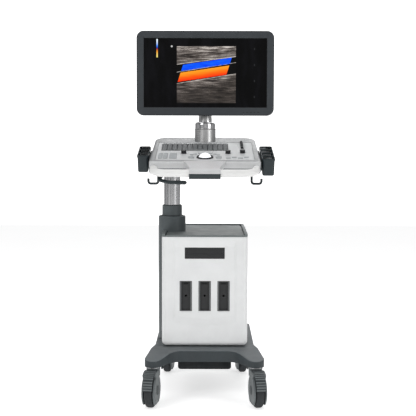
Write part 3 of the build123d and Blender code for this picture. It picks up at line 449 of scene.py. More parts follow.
@dataclass(frozen=True)
class Moulding:
    """Moulded or painted plastic: grain, mottling, worn edges that on the caster pedals are partly a painted
    highlight, smears and settled dust.
    """

    colour: Colour
    roughness: float = 0.42
    grain_scale: float = 1600.0
    grain_depth: float = 0.03 * MM
    mottle: float = 0.06
    edge_radius: float = 0.8 * MM
    edge_wear_and_highlight: float = 0.25
    edge_wear_and_highlight_shift: float = 1.35
    dust: float = 0.10
    smears: float = 0.08
    metallic: float = 0.0
    coat: float = 0.0
    flake: float = 0.0

    def build(self, material: Material, effects: Effects) -> None:
        """Wires the material.

        Args:
            material: an empty material with nodes.
            effects: the shared node groups.
        """
        graph = Graph(material.node_tree)
        grain = graph.placed(effects.grain, {"Scale": self.grain_scale})
        edges = graph.placed(effects.edges, {"Radius": self.edge_radius})
        dust = graph.placed(effects.dust, {})
        marks = graph.placed(effects.handling, {})
        darker = scaled(self.colour, 1.0 - self.mottle)
        lighter = scaled(self.colour, 1.0 + 0.6 * self.mottle)
        colour = graph.mix(grain["Mottle"], darker, lighter)
        if self.flake:
            sparkle = graph.between(graph.noise(graph.place(), 9000.0, 0.0), 0.56, 0.70, 0.0, self.flake)
            colour = graph.mix(sparkle, colour, scaled(self.colour, 1.5))
        # Worn edges shift in colour; where they turn lighter, as on the caster pedals, this is partly a
        # painted highlight on edges and rib tops.
        worn_and_lit_colour = scaled(self.colour, self.edge_wear_and_highlight_shift, 0.02)
        colour = graph.mix(graph.times(edges["Mask"], self.edge_wear_and_highlight), colour, worn_and_lit_colour)
        grey = sum(self.colour) / 3 * 0.5 + 0.28
        dusty = (grey, grey * 0.98, grey * 0.95)
        colour = graph.mix(graph.times(dust["Mask"], self.dust), colour, dusty)
        rough = graph.between(grain["Mottle"], 0.0, 1.0, self.roughness * 0.92, self.roughness * 1.06)
        rough = graph.plus(rough, graph.times(marks["Smears"], self.smears))
        rough = graph.plus(rough, graph.times(dust["Mask"], self.dust * 0.8), clamp=True)
        normal = graph.bump(grain["Height"], self.grain_depth, 0.8, edges["Normal"])
        graph.surface({"Base Color": colour, "Roughness": rough, "Metallic": self.metallic,
                       "Coat Weight": self.coat, "Coat Roughness": 0.12, "Specular IOR Level": 0.5,
                       "Normal": normal})


@dataclass(frozen=True)
class Metal:
    """Bare or plated metal with drawn or turned streaks, scratches and finger smears."""

    colour: Colour
    roughness: float
    streaks: Tuple[float, float, float] = (1.0, 1.0, 0.03)
    streak_scale: float = 900.0
    streak_depth: float = 0.004 * MM
    smears: float = 0.10
    edge_radius: float = 0.6 * MM

    def build(self, material: Material, effects: Effects) -> None:
        """Wires the material.

        Args:
            material: an empty material with nodes.
            effects: the shared node groups.
        """
        graph = Graph(material.node_tree)
        edges = graph.placed(effects.edges, {"Radius": self.edge_radius})
        marks = graph.placed(effects.handling, {"Smear Scale": 45.0})
        lines = graph.noise(graph.stretched(graph.place(), self.streaks), self.streak_scale, 3.0, 0.6)
        colour = graph.mix(graph.between(lines, 0.25, 0.8), scaled(self.colour, 0.82), self.colour)
        colour = graph.mix(graph.times(marks["Smears"], 0.12), colour, scaled(self.colour, 0.7))
        rough = graph.between(lines, 0.3, 0.7, self.roughness * 0.75, self.roughness * 1.3)
        rough = graph.plus(rough, graph.times(marks["Smears"], self.smears))
        rough = graph.plus(rough, graph.times(marks["Scratches"], 0.15), clamp=True)
        normal = graph.bump(lines, self.streak_depth, 0.6, edges["Normal"])
        graph.surface({"Base Color": colour, "Roughness": rough, "Metallic": 1.0, "Normal": normal})


@dataclass(frozen=True)
class PaintedGlowBall:
    """A pale ball with a painted glow, uneven over its surface: its emission stands in for light on the ball,
    which is no lamp.
    """

    colour: Colour
    lit: Colour
    strength: float

    def build(self, material: Material, effects: Effects) -> None:
        """Wires the material.

        Args:
            material: an empty material with nodes.
            effects: the shared node groups.
        """
        graph = Graph(material.node_tree)
        cloud = graph.between(graph.noise(graph.place(), 120.0, 4.0), 0.3, 0.7)
        marks = graph.placed(effects.handling, {"Smear Scale": 120.0})
        graph.surface({"Base Color": graph.mix(cloud, scaled(self.colour, 0.94), self.colour),
                       "Roughness": graph.between(marks["Smears"], 0.0, 1.0, 0.16, 0.30),
                       # Painted glow: emission that makes the trackball, which is no lamp, read brighter.
                       "Emission Color": graph.mix(cloud, scaled(self.lit, 0.85), self.lit),
                       "Emission Strength": self.strength, "Coat Weight": 0.3})


@dataclass(frozen=True)
class Board:
    """Green circuit board: copper tracks under the mask and rows of dark parts."""

    colour: Colour = (0.02, 0.13, 0.06)
    track: Colour = (0.10, 0.34, 0.14)
    chip: Colour = (0.03, 0.03, 0.035)

    def build(self, material: Material, effects: Effects) -> None:
        """Wires the material.

        Args:
            material: an empty material with nodes.
            effects: the shared node groups.
        """
        graph = Graph(material.node_tree)
        grain = graph.placed(effects.grain, {"Scale": 900.0})
        tracks = graph.node("TexBrick", offset=0.5)
        graph.feed(tracks.inputs["Scale"], 90.0)
        graph.feed(tracks.inputs["Mortar Size"], 0.03)
        upright = graph.stretched(graph.place(), (1.0, 1.0, 1.0), (1.5708, 0.0, 1.5708))
        graph.feed(tracks.inputs["Vector"], upright)
        cells = graph.node("TexVoronoi", feature="F1", distance="CHEBYCHEV")
        graph.feed(cells.inputs["Vector"], graph.place())
        graph.feed(cells.inputs["Scale"], 70.0)
        chips = graph.between(cells.outputs["Distance"], 0.22, 0.20)
        colour = graph.mix(tracks.outputs["Fac"], self.colour, self.track)
        colour = graph.mix(chips, colour, self.chip)
        colour = graph.mix(graph.times(grain["Mottle"], 0.3), colour, scaled(self.colour, 1.6))
        graph.surface({"Base Color": colour, "Roughness": graph.between(chips, 0.0, 1.0, 0.30, 0.62),
                       "Normal": graph.bump(chips, 0.6 * MM, 0.5)})


@dataclass(frozen=True)
class Spot:
    """Where a point lies on the display, in metres from its middle."""

    place: Socket
    across: Socket
    up: Socket
    band: Socket


@dataclass(frozen=True)
class ScreenPicture:
    """The lit display: tissue round a slanting vessel, a blue and an orange flow box and a colour bar."""

    centre_z: float
    slope: float = 0.1507
    soft: float = 0.6 * MM
    unlit: Colour = (0.0012, 0.0012, 0.0014)
    tissue: Tuple[float, float, float, float] = (-0.1085, 0.1160, -0.1140, 0.1005)
    walls: Tuple[float, float, float] = (0.0469, 0.0202, -0.0223)
    wall_slopes: Tuple[float, float, float] = (0.132, 0.165, 0.165)
    wall_widths: Tuple[float, float, float] = (1.3 * MM, 0.9 * MM, 1.0 * MM)
    wall_echo: Colour = (0.62, 0.57, 0.53)
    wall_ripple: float = 2.2 * MM
    lumen: Colour = (0.002, 0.002, 0.002)
    blue: Tuple[float, float] = (0.0210, 0.0435)
    orange: Tuple[float, float] = (-0.0185, 0.0147)
    flow_left: float = -0.0850
    flow_right: float = 0.1010
    flow_lean: float = 0.32
    flow_left_z: float = 0.0293
    flow_right_z: float = 0.0596
    flow_jitter: float = 4.0 * MM
    bar: Tuple[float, float, float, float] = (-0.1860, -0.1810, 0.0585, 0.1275)
    dot: Tuple[float, float] = (-0.1279, 0.1002)
    ticks: Tuple[float, float, float, float] = (0.1850, 0.1890, -0.1125, 0.1075)

    def _inside(self, graph: Graph, value: Socket, low: float, high: float, soft: float = 0.6 * MM) -> Socket:
        """A mask that is 1 from low to high, with soft ends."""
        return graph.times(graph.between(value, low - soft, low + soft),
                           graph.between(value, high + soft, high - soft))

    def _box(self, graph: Graph, spot: Spot, box: Tuple[float, float, float, float]) -> Socket:
        """A mask that is 1 in a box of left, right, bottom and top.

        Args:
            graph: the material's graph.
            spot: the point that is being coloured.
            box: the box, in metres from the display's middle.

        Returns:
            The mask.
        """
        left, right, bottom, top = box
        return graph.times(self._inside(graph, spot.across, left, right),
                           self._inside(graph, spot.up, bottom, top))

    def _spot(self, graph: Graph) -> Spot:
        """The point that is being coloured.

        Args:
            graph: the material's graph.

        Returns:
            The point's place and distances.
        """
        level = graph.node("VectorMath", operation="SUBTRACT")
        graph.feed(level.inputs[0], graph.place())
        graph.feed(level.inputs[1], (0.0, 0.0, self.centre_z))
        parts = graph.parts(level.outputs[0])
        band = graph.minus(parts["Z"], graph.times(parts["X"], self.slope))
        return Spot(level.outputs[0], parts["X"], parts["Z"], band)

    def _tissue(self, graph: Graph, spot: Spot) -> Socket:
        """Grey-brown echoes, streaked along the vessel, with speckle.

        Args:
            graph: the material's graph.
            spot: the point that is being coloured.

        Returns:
            The tissue's colour.
        """
        lean = (0.0, math.atan(self.slope) * 0.7, 0.0)
        streaks = graph.noise(graph.stretched(spot.place, (16.0, 1.0, 230.0), lean), 1.0, 6.0, 0.68)
        broad = graph.noise(graph.stretched(spot.place, (12.0, 1.0, 42.0), lean), 1.0, 3.0, 0.5)
        speckle = graph.noise(graph.stretched(spot.place, (240.0, 1.0, 620.0), lean), 1.0, 2.0, 0.7)
        bright = graph.plus(graph.times(graph.between(streaks, 0.36, 0.72), 0.62),
                            graph.times(graph.between(broad, 0.35, 0.7), 0.30))
        bright = graph.times(bright, graph.between(speckle, 0.2, 0.8, 0.55, 1.25))
        deep = graph.between(spot.up, -0.1325, -0.0125, 0.50, 1.0)
        skin = graph.between(spot.up, 0.0725, 0.0995, 0.85, 1.5)
        low_wall = self.walls[2]
        near_wall = graph.between(spot.band, low_wall - 0.045, low_wall - 0.004, 1.0, 1.35)
        bright = graph.times(bright, graph.times(deep, graph.times(skin, near_wall)))
        return graph.ramp(bright, [(0.0, (0.010, 0.009, 0.008)), (0.25, (0.055, 0.046, 0.041)),
                                   (0.55, (0.19, 0.165, 0.15)), (1.0, (0.62, 0.57, 0.53))])

    def _vessel(self, graph: Graph, spot: Spot) -> Socket:
        """The tissue with the dark vessel through it and a bright line along each wall.

        Args:
            graph: the material's graph.
            spot: the point that is being coloured.

        Returns:
            The picture's colour without flow.
        """
        ripple = graph.times(graph.minus(graph.noise(spot.place, 90.0, 3.0), 0.5), self.wall_ripple)
        wavy = [graph.plus(graph.minus(spot.up, graph.times(spot.across, slope)), ripple)
                for slope in self.wall_slopes]
        top, bottom = self.walls[0], self.walls[2]
        within = graph.times(graph.between(wavy[0], top + self.soft, top - self.soft),
                             graph.between(wavy[2], bottom - self.soft, bottom + self.soft))
        picture = graph.mix(within, self._tissue(graph, spot), self.lumen)
        for wave, wall, width in zip(wavy, self.walls, self.wall_widths):
            line = self._inside(graph, wave, wall - width, wall + width, 0.5 * MM)
            patches = graph.noise(graph.stretched(spot.place, (60.0, 1.0, 60.0)), 1.0, 3.0)
            glow = graph.between(patches, 0.3, 0.7, 0.35, 0.95)
            picture = graph.mix(graph.times(line, glow), picture, self.wall_echo)
        return picture

    def _flow(self, graph: Graph, spot: Spot, picture: Socket) -> Socket:
        """Lays the blue and the orange flow over the vessel.

        Args:
            graph: the material's graph.
            spot: the point that is being coloured.
            picture: the colour without flow.

        Returns:
            The colour with flow.
        """
        leaning = graph.times(spot.up, self.flow_lean)
        left = graph.plus(leaning, self.flow_left - self.flow_lean * self.flow_left_z)
        right = graph.plus(leaning, self.flow_right - self.flow_lean * self.flow_right_z)
        within = graph.times(graph.between(graph.minus(spot.across, left), -self.soft, self.soft),
                             graph.between(graph.minus(right, spot.across), -self.soft, self.soft))
        jitter = graph.times(graph.minus(graph.noise(spot.place, 320.0, 2.0), 0.5), self.flow_jitter)
        rough_band = graph.plus(spot.band, jitter)
        along = graph.stretched(spot.place, (22.0, 1.0, 160.0), (0.0, math.atan(self.slope), 0.0))
        swirl = graph.noise(along, 1.0, 4.0)
        blues = graph.ramp(swirl, [(0.30, (0.0, 0.035, 0.80)), (0.70, (0.004, 0.13, 1.0))])
        away = graph.times(within, self._inside(graph, rough_band, *self.blue))
        picture = graph.mix(away, picture, blues)
        depth = graph.between(graph.plus(spot.band, graph.times(swirl, 9.0 * MM)),
                              self.orange[0] + 3.0 * MM, self.orange[1] + 6.0 * MM)
        fire = graph.ramp(depth, [(0.0, (0.86, 0.030, 0.002)), (0.45, (1.0, 0.135, 0.004)),
                                  (1.0, (1.0, 0.33, 0.015))])
        towards = graph.times(within, self._inside(graph, rough_band, *self.orange))
        return graph.mix(towards, picture, fire)

    def _colour_bar(self, graph: Graph, spot: Spot, screen: Socket) -> Socket:
        """Adds the bar of flow colours at the upper left.

        Args:
            graph: the material's graph.
            spot: the point that is being coloured.
            screen: the colour so far.

        Returns:
            The colour with the bar.
        """
        bottom, top = self.bar[2:]
        colours = graph.ramp(graph.between(spot.up, bottom, top), [
            (0.0, (0.9, 0.75, 0.2)), (0.22, (0.9, 0.35, 0.02)), (0.45, (0.35, 0.01, 0.02)),
            (0.52, (0.02, 0.02, 0.3)), (0.70, (0.05, 0.25, 0.95)), (1.0, (0.85, 0.95, 1.0))])
        return graph.mix(self._box(graph, spot, self.bar), screen, colours)

    def _corner_dot(self, graph: Graph, spot: Spot, screen: Socket) -> Socket:
        """Adds the grey dot beside the picture's upper corner.

        Args:
            graph: the material's graph.
            spot: the point that is being coloured.
            screen: the colour so far.

        Returns:
            The colour with the dot.
        """
        flat = graph.node("CombineXYZ")
        graph.feed(flat.inputs["X"], spot.across)
        graph.feed(flat.inputs["Z"], spot.up)
        away = graph.node("VectorMath", operation="DISTANCE")
        graph.feed(away.inputs[0], flat.outputs[0])
        graph.feed(away.inputs[1], (self.dot[0], 0.0, self.dot[1]))
        dot = graph.between(away.outputs["Value"], 4.2 * MM, 3.0 * MM)
        return graph.mix(dot, screen, (0.50, 0.50, 0.50))

    def _depth_ticks(self, graph: Graph, spot: Spot, screen: Socket) -> Socket:
        """Adds the faint scale at the right.

        Args:
            graph: the material's graph.
            spot: the point that is being coloured.
            screen: the colour so far.

        Returns:
            The colour with the scale.
        """
        steps = graph.node("TexWave", wave_type="BANDS", bands_direction="Z")
        graph.feed(steps.inputs["Scale"], 5.2)
        graph.feed(steps.inputs["Vector"], spot.place)
        lines = graph.between(steps.outputs["Fac"], 0.93, 0.99)
        marks = graph.times(self._box(graph, spot, self.ticks), lines)
        return graph.mix(graph.times(marks, 0.05), screen, (0.4, 0.42, 0.45))

    def build(self, material: Material, effects: Effects) -> None:
        """Wires the material.

        Args:
            material: an empty material with nodes.
            effects: the shared node groups.
        """
        graph = Graph(material.node_tree)
        spot = self._spot(graph)
        picture = self._flow(graph, spot, self._vessel(graph, spot))
        screen = graph.mix(self._box(graph, spot, self.tissue), self.unlit, picture)
        for layer in (self._colour_bar, self._corner_dot, self._depth_ticks):
            screen = layer(graph, spot, screen)
        smears = graph.placed(effects.handling, {"Smear Scale": 18.0})["Smears"]
        graph.surface({"Base Color": graph.mix(smears, (0.002, 0.002, 0.002), (0.004, 0.004, 0.005)),
                       "Roughness": graph.between(smears, 0.0, 1.0, 0.40, 0.52), "Emission Color": screen,
                       "Emission Strength": 1.15, "Specular IOR Level": 0.06})


WHITE: Colour = (0.80, 0.81, 0.81)

RECIPES: Dict[Finish, object] = {
    Finish.WHITE_CASING: Moulding(WHITE, roughness=0.30, grain_scale=900.0, grain_depth=0.02 * MM,
        mottle=0.03, edge_radius=1.6 * MM, edge_wear_and_highlight=0.15, edge_wear_and_highlight_shift=0.9, dust=0.05, smears=0.06, coat=0.25),
    Finish.KEY_DECK: Moulding((0.60, 0.615, 0.62), roughness=0.46, grain_scale=2200.0,
        grain_depth=0.03 * MM, mottle=0.04, edge_radius=0.5 * MM, edge_wear_and_highlight=0.2, edge_wear_and_highlight_shift=1.1, dust=0.06),
    Finish.HANDLE_WHITE: Moulding((0.82, 0.82, 0.81), roughness=0.34, grain_scale=1400.0,
        grain_depth=0.02 * MM, mottle=0.04, edge_radius=0.6 * MM, edge_wear_and_highlight=0.1, edge_wear_and_highlight_shift=0.9, dust=0.05,
        smears=0.14, coat=0.15),
    Finish.SLATE_CASING: Moulding((0.115, 0.130, 0.137), roughness=0.52, grain_scale=1300.0,
        grain_depth=0.05 * MM, mottle=0.08, edge_radius=1.0 * MM),
    Finish.SLATE_TRAY: Moulding((0.150, 0.172, 0.172), roughness=0.50, grain_scale=1300.0,
        grain_depth=0.06 * MM, mottle=0.06, edge_radius=1.0 * MM, dust=0.18),
    Finish.COLUMN_SLATE: Moulding((0.078, 0.093, 0.098), roughness=0.44, grain_scale=1300.0,
        grain_depth=0.04 * MM, mottle=0.07, edge_radius=1.2 * MM, dust=0.14),
    Finish.BASE_SLATE: Moulding((0.140, 0.156, 0.164), roughness=0.55, grain_scale=1000.0,
        grain_depth=0.07 * MM, mottle=0.08, edge_radius=2.2 * MM, edge_wear_and_highlight=0.35, dust=0.16),
    Finish.BASE_SIDE: Moulding((0.038, 0.048, 0.053), roughness=0.58, grain_scale=1000.0,
        grain_depth=0.06 * MM, mottle=0.08, edge_radius=2.2 * MM),
    Finish.TUB_BLACK: Moulding((0.006, 0.009, 0.011), roughness=0.70, grain_scale=1100.0,
        grain_depth=0.05 * MM, mottle=0.12, edge_radius=1.4 * MM),
    Finish.CASTER_SHELL: Moulding((0.130, 0.147, 0.152), roughness=0.45, grain_scale=1200.0,
        grain_depth=0.05 * MM, mottle=0.09, edge_radius=1.6 * MM, edge_wear_and_highlight=0.4),
    # Painted highlight: the pedal's strong light edges are partly wear and partly light catching the rib
    # tops.
    Finish.CASTER_PEDAL: Moulding((0.055, 0.065, 0.070), roughness=0.50, grain_scale=1200.0,
        grain_depth=0.05 * MM, mottle=0.10, edge_radius=0.7 * MM, edge_wear_and_highlight=0.7, edge_wear_and_highlight_shift=1.9),
    Finish.CASTER_HUB: Moulding((0.060, 0.068, 0.072), roughness=0.50, grain_scale=1200.0,
        grain_depth=0.05 * MM, mottle=0.10, edge_radius=0.8 * MM),
    Finish.TYRE: Moulding((0.026, 0.030, 0.033), roughness=0.72, grain_scale=700.0, grain_depth=0.12 * MM,
        mottle=0.25, edge_radius=1.0 * MM, edge_wear_and_highlight=0.5, edge_wear_and_highlight_shift=2.2, dust=0.25, smears=0.10),
    Finish.CUP_SLATE: Moulding((0.014, 0.024, 0.028), roughness=0.46, grain_scale=1500.0,
        grain_depth=0.03 * MM, mottle=0.10, edge_radius=1.4 * MM, edge_wear_and_highlight=0.4, edge_wear_and_highlight_shift=1.8, dust=0.12),
    Finish.SOFT_BLACK: Moulding((0.010, 0.011, 0.012), roughness=0.60, grain_scale=900.0,
        grain_depth=0.05 * MM, mottle=0.15, edge_radius=0.5 * MM),
    Finish.SOCKET_BLACK: Moulding((0.016, 0.017, 0.018), roughness=0.45, grain_scale=1400.0,
        grain_depth=0.03 * MM, mottle=0.12, edge_radius=0.5 * MM, edge_wear_and_highlight=0.5, edge_wear_and_highlight_shift=2.0),
    Finish.SOCKET_RAIL: Moulding((0.120, 0.125, 0.130), roughness=0.38, grain_scale=1400.0,
        grain_depth=0.03 * MM, mottle=0.08, edge_radius=0.5 * MM),
    Finish.DRIVE_BLACK: Moulding((0.014, 0.015, 0.016), roughness=0.38, grain_scale=1500.0,
        grain_depth=0.03 * MM, mottle=0.10, edge_radius=0.4 * MM, edge_wear_and_highlight=0.3, edge_wear_and_highlight_shift=1.6, dust=0.04),
    Finish.SILVER_PAINT: Moulding((0.27, 0.28, 0.285), roughness=0.44, grain_scale=2600.0,
        grain_depth=0.015 * MM, mottle=0.05, edge_radius=2.0 * MM, edge_wear_and_highlight=0.3, edge_wear_and_highlight_shift=1.25, dust=0.08,
        metallic=0.35, coat=0.15, flake=0.25),
    Finish.SILVER_SADDLE: Moulding((0.60, 0.605, 0.61), roughness=0.52, grain_scale=2600.0,
        grain_depth=0.015 * MM, mottle=0.05, edge_radius=2.5 * MM, edge_wear_and_highlight=0.2, edge_wear_and_highlight_shift=1.2, dust=0.06,
        metallic=0.15, flake=0.25),
    Finish.SILVER_POST: Metal((0.66, 0.66, 0.655), roughness=0.30, streaks=(1.0, 1.0, 40.0),
        streak_scale=60.0, streak_depth=0.002 * MM),
    Finish.CHROME: Metal((0.80, 0.80, 0.81), roughness=0.14, streaks=(1.0, 1.0, 0.02), streak_scale=90.0,
        streak_depth=0.0001 * MM, smears=0.04),
    Finish.BRUSHED_STEEL: Metal((0.52, 0.53, 0.54), roughness=0.34, streaks=(1.0, 0.05, 0.05),
        streak_scale=900.0, streak_depth=0.01 * MM),
    Finish.ZINC_SHEET: Metal((0.50, 0.52, 0.54), roughness=0.45, streaks=(0.3, 1.0, 0.3),
        streak_scale=220.0, streak_depth=0.01 * MM, smears=0.2),
    Finish.MONITOR_SLATE: Moulding((0.030, 0.036, 0.042), roughness=0.42, grain_scale=1700.0,
        grain_depth=0.02 * MM, mottle=0.07, edge_radius=1.2 * MM, edge_wear_and_highlight=0.2, edge_wear_and_highlight_shift=1.6, dust=0.08,
        coat=0.12),
    Finish.MONITOR_EDGE: Moulding((0.018, 0.022, 0.026), roughness=0.50, grain_scale=1300.0,
        grain_depth=0.04 * MM, mottle=0.08, edge_radius=1.6 * MM, edge_wear_and_highlight=0.2, edge_wear_and_highlight_shift=1.6, dust=0.15),
    Finish.KEY_CAP: Moulding((0.13, 0.14, 0.145), roughness=0.52, grain_scale=2600.0,
        grain_depth=0.03 * MM, mottle=0.08, edge_radius=0.4 * MM, edge_wear_and_highlight=0.45, edge_wear_and_highlight_shift=1.5, dust=0.05,
        smears=0.12),
    Finish.KEY_LIGHT: Moulding((0.40, 0.42, 0.43), roughness=0.50, grain_scale=2600.0,
        grain_depth=0.03 * MM, mottle=0.06, edge_radius=0.4 * MM, edge_wear_and_highlight=0.3, edge_wear_and_highlight_shift=1.3, dust=0.05,
        smears=0.12),
    Finish.KNOB_BLACK: Moulding((0.010, 0.011, 0.013), roughness=0.40, grain_scale=2200.0,
        grain_depth=0.03 * MM, mottle=0.10, edge_radius=0.4 * MM, edge_wear_and_highlight=0.6, edge_wear_and_highlight_shift=2.2, dust=0.08),
    # The trackball's emission is a painted glow.
    Finish.BALL: PaintedGlowBall((0.92, 0.93, 0.95), lit=(0.95, 0.97, 1.0), strength=0.55),
    Finish.BOARD: Board(),
    Finish.PRINT: Moulding((0.16, 0.17, 0.18), roughness=0.55, grain_scale=2600.0, grain_depth=0.01 * MM,
        mottle=0.10, edge_radius=0.1 * MM, edge_wear_and_highlight=0.0, edge_wear_and_highlight_shift=1.0, dust=0.03),
}


class Wardrobe:
    """Every finish as a Blender material, made once."""

    def __init__(self, screen_centre_z: float) -> None:
        """Builds all the materials.

        Args:
            screen_centre_z: the height of the middle of the display, in metres.
        """
        effects = Effects()
        recipes = {**RECIPES, Finish.SCREEN: ScreenPicture(screen_centre_z)}
        self._materials: Dict[Finish, Material] = {}
        for finish, recipe in recipes.items():
            material = bpy.data.materials.new(finish.value)
            material.use_nodes = True
            recipe.build(material, effects)
            self._materials[finish] = material

    def of(self, finish: Finish) -> Material:
        """The material of one finish."""
        return self._materials[finish]


# ---- the workbench ------------------------------------------------------------------------------
class Bench:
    """Modelling moves that every sub-assembly uses, each made of a few operators."""

    @staticmethod
    def clear() -> None:
        """Leaves edit mode and selects nothing."""
        if bpy.context.object is not None and bpy.context.object.mode != "OBJECT":
            bpy.ops.object.mode_set(mode="OBJECT")
        bpy.ops.object.select_all(action="DESELECT")

    @staticmethod
    def only(piece: Piece) -> None:
        """Selects one piece alone and makes it active.

        Args:
            piece: the piece that is wanted.
        """
        Bench.clear()
        piece.select_set(True)
        bpy.context.view_layer.objects.active = piece

    @staticmethod
    def block(name: str, centre: Sequence[float], size: Sequence[float]) -> Piece:
        """Starts a piece from a box.

        Args:
            name: the piece's name.
            centre: its middle, in metres.
            size: its three lengths, in metres.

        Returns:
            The new piece, with its place in its mesh.
        """
        Bench.clear()
        bpy.ops.mesh.primitive_cube_add(size=1.0, location=centre)
        piece = bpy.context.object
        piece.name = name
        piece.scale = size
        Bench.settle(piece)
        return piece

    @staticmethod
    def drum(name: str, centre: Sequence[float], radius: float, depth: float, axis: str = "Z",
             sides: int = 48) -> Piece:
        """Starts a piece from a round bar along one row axis.

        Args:
            name: the piece's name.
            centre: its middle, in metres.
            radius: its radius.
            depth: its length along the axis.
            axis: X, Y or Z.
            sides: how many faces go round it.

        Returns:
            The new piece, with its place in its mesh.
        """
        turn = {"X": (0.0, math.pi / 2, 0.0), "Y": (math.pi / 2, 0.0, 0.0), "Z": (0.0, 0.0, 0.0)}[axis]
        Bench.clear()
        bpy.ops.mesh.primitive_cylinder_add(vertices=sides, radius=radius, depth=depth, location=centre,
                                            rotation=turn)
        piece = bpy.context.object
        piece.name = name
        Bench.settle(piece)
        return piece

    @staticmethod
    def settle(piece: Piece) -> None:
        """Puts a piece's place into its mesh, so that its object stands at the origin."""
        Bench.only(piece)
        bpy.ops.object.transform_apply(location=True, rotation=True, scale=True)

    @staticmethod
    def pick(piece: Piece, wanted: Callable[[Face], bool]) -> None:
        """Enters edit mode with the faces that pass a test selected.

        Args:
            piece: the piece to edit.
            wanted: says of each face whether it is selected.
        """
        Bench.only(piece)
        bpy.ops.object.mode_set(mode="EDIT")
        bpy.ops.mesh.select_mode(type="FACE")
        bpy.ops.mesh.select_all(action="DESELECT")
        bpy.ops.object.mode_set(mode="OBJECT")
        for face in piece.data.polygons:
            face.select = wanted(face)
        bpy.ops.object.mode_set(mode="EDIT")

    @staticmethod
    def modify(piece: Piece, kind: str, **settings: object) -> None:
        """Adds a modifier and applies it.

        Args:
            piece: the piece that is changed.
            kind: the modifier's type.
            settings: the modifier's values.
        """
        Bench.only(piece)
        modifier = piece.modifiers.new(kind.lower(), kind)
        for name, value in settings.items():
            setattr(modifier, name, value)
        bpy.ops.object.modifier_apply(modifier=modifier.name)

    @staticmethod
    def round_edges(piece: Piece, width: float, segments: int = 2, angle: float = 35.0) -> None:
        """Bevels every edge that is sharper than an angle in degrees."""
        Bench.modify(piece, "BEVEL", width=width, segments=segments, limit_method="ANGLE",
                     angle_limit=math.radians(angle), harden_normals=False)

    @staticmethod
    def upright_corners(piece: Piece, radius: float) -> None:
        """Rounds the four edges of a box that stand along Z, to a radius in millimetres.

        Args:
            piece: the box.
            radius: the corners' radius, in millimetres.
        """
        Bench.only(piece)
        bpy.ops.object.mode_set(mode="EDIT")
        bpy.ops.mesh.select_mode(type="EDGE")
        bpy.ops.mesh.select_all(action="DESELECT")
        bpy.ops.object.mode_set(mode="OBJECT")
        for edge in piece.data.edges:
            ends = [piece.data.vertices[v].co for v in edge.vertices]
            edge.select = abs(ends[0].z - ends[1].z) > 1e-4
        bpy.ops.object.mode_set(mode="EDIT")
        bpy.ops.mesh.bevel(offset=radius * MM, segments=6)
        bpy.ops.object.mode_set(mode="OBJECT")

    @staticmethod
    def cut(piece: Piece, cutter: Piece) -> None:
        """Takes the cutter out of the piece and throws the cutter away."""
        Bench.modify(piece, "BOOLEAN", operation="DIFFERENCE", object=cutter, solver="EXACT")
        bpy.data.objects.remove(cutter)

    @staticmethod
    def copies(piece: Piece, places: Iterable[Matrix]) -> Piece:
        """Repeats a piece at each place and joins the copies.

        Args:
            piece: the model of one, at the origin; it is used up.
            places: the transform of each copy.

        Returns:
            One piece that holds them all.
        """
        made: List[Piece] = []
        for place in places:
            twin = piece.copy()
            twin.data = piece.data.copy()
            bpy.context.scene.collection.objects.link(twin)
            twin.data.transform(place)
            made.append(twin)
        name = piece.name
        bpy.data.objects.remove(piece)
        whole = Bench.join(made)
        whole.name = name
        return whole

    @staticmethod
    def join(made: Sequence[Piece]) -> Piece:
        """Joins several pieces into the first.

        Args:
            made: the pieces, of which the first gives its name.

        Returns:
            The joined piece.
        """
        Bench.clear()
        for piece in made:
            piece.select_set(True)
        bpy.context.view_layer.objects.active = made[0]
        if len(made) > 1:
            bpy.ops.object.join()
        return bpy.context.object

    @staticmethod
    def outward(piece: Piece) -> None:
        """Merges doubles and turns every face outwards.

        Args:
            piece: the piece that is cleaned.
        """
        Bench.only(piece)
        bpy.ops.object.mode_set(mode="EDIT")
        bpy.ops.mesh.select_all(action="SELECT")
        bpy.ops.mesh.remove_doubles(threshold=1e-6)
        bpy.ops.mesh.normals_make_consistent(inside=False)
        bpy.ops.object.mode_set(mode="OBJECT")

    @staticmethod
    def smooth(piece: Piece, angle: float = 32.0) -> None:
        """Shades smooth across edges flatter than an angle in degrees."""
        Bench.only(piece)
        bpy.ops.object.shade_smooth_by_angle(angle=math.radians(angle))


@dataclass
class SubAssembly:
    """A group of pieces that is built and dressed together."""

    wardrobe: Wardrobe

    def paint(self, node: str, finish: Finish) -> None:
        """Gives a whole CAD node one finish.

        Args:
            node: the CAD node.
            finish: its finish.
        """
        mesh = frame["nodes"][node].data
        mesh.materials.clear()
        mesh.materials.append(self.wardrobe.of(finish))
        for face in mesh.polygons:
            face.material_index = 0
        LOG.info("painted %s in %s", node, finish.value)

    def paint_part(self, node: str, finish: Finish, wanted: Callable[[Vector, Vector], bool]) -> None:
        """Gives some faces of a CAD node a second finish.

        Args:
            node: the CAD node, already painted.
            finish: the second finish.
            wanted: says of a face's middle and normal whether it takes the finish.
        """
        mesh = frame["nodes"][node].data
        mesh.materials.append(self.wardrobe.of(finish))
        index = len(mesh.materials) - 1
        for face in mesh.polygons:
            if wanted(face.center, face.normal):
                face.material_index = index

    def fit(self, piece: Piece, body: str, slot: str, finish: Finish, replaced: Sequence[str] = (),
            angle: float = 32.0) -> Piece:
        """Finishes a piece and lets it ride on its body.

        Args:
            piece: the modelled piece, in place.
            body: the CAD body that it moves with.
            slot: not used.
            finish: the material.
            replaced: CAD nodes that it stands for.
            angle: the sharpest edge, in degrees, that is shaded smooth.

        Returns:
            The piece.
        """
        Bench.settle(piece)
        Bench.outward(piece)
        Bench.smooth(piece, angle)
        piece.data.materials.clear()
        piece.data.materials.append(self.wardrobe.of(finish))
        if replaced:
            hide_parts(*replaced)
        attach(piece, body)
        LOG.info("fitted %s on %s: %d faces", piece.name, body, len(piece.data.polygons))
        return piece


def joint(name: str) -> Dict:
    """A joint of the record by name."""
    return next(j for j in frame["joints"] if j["name"] == name)


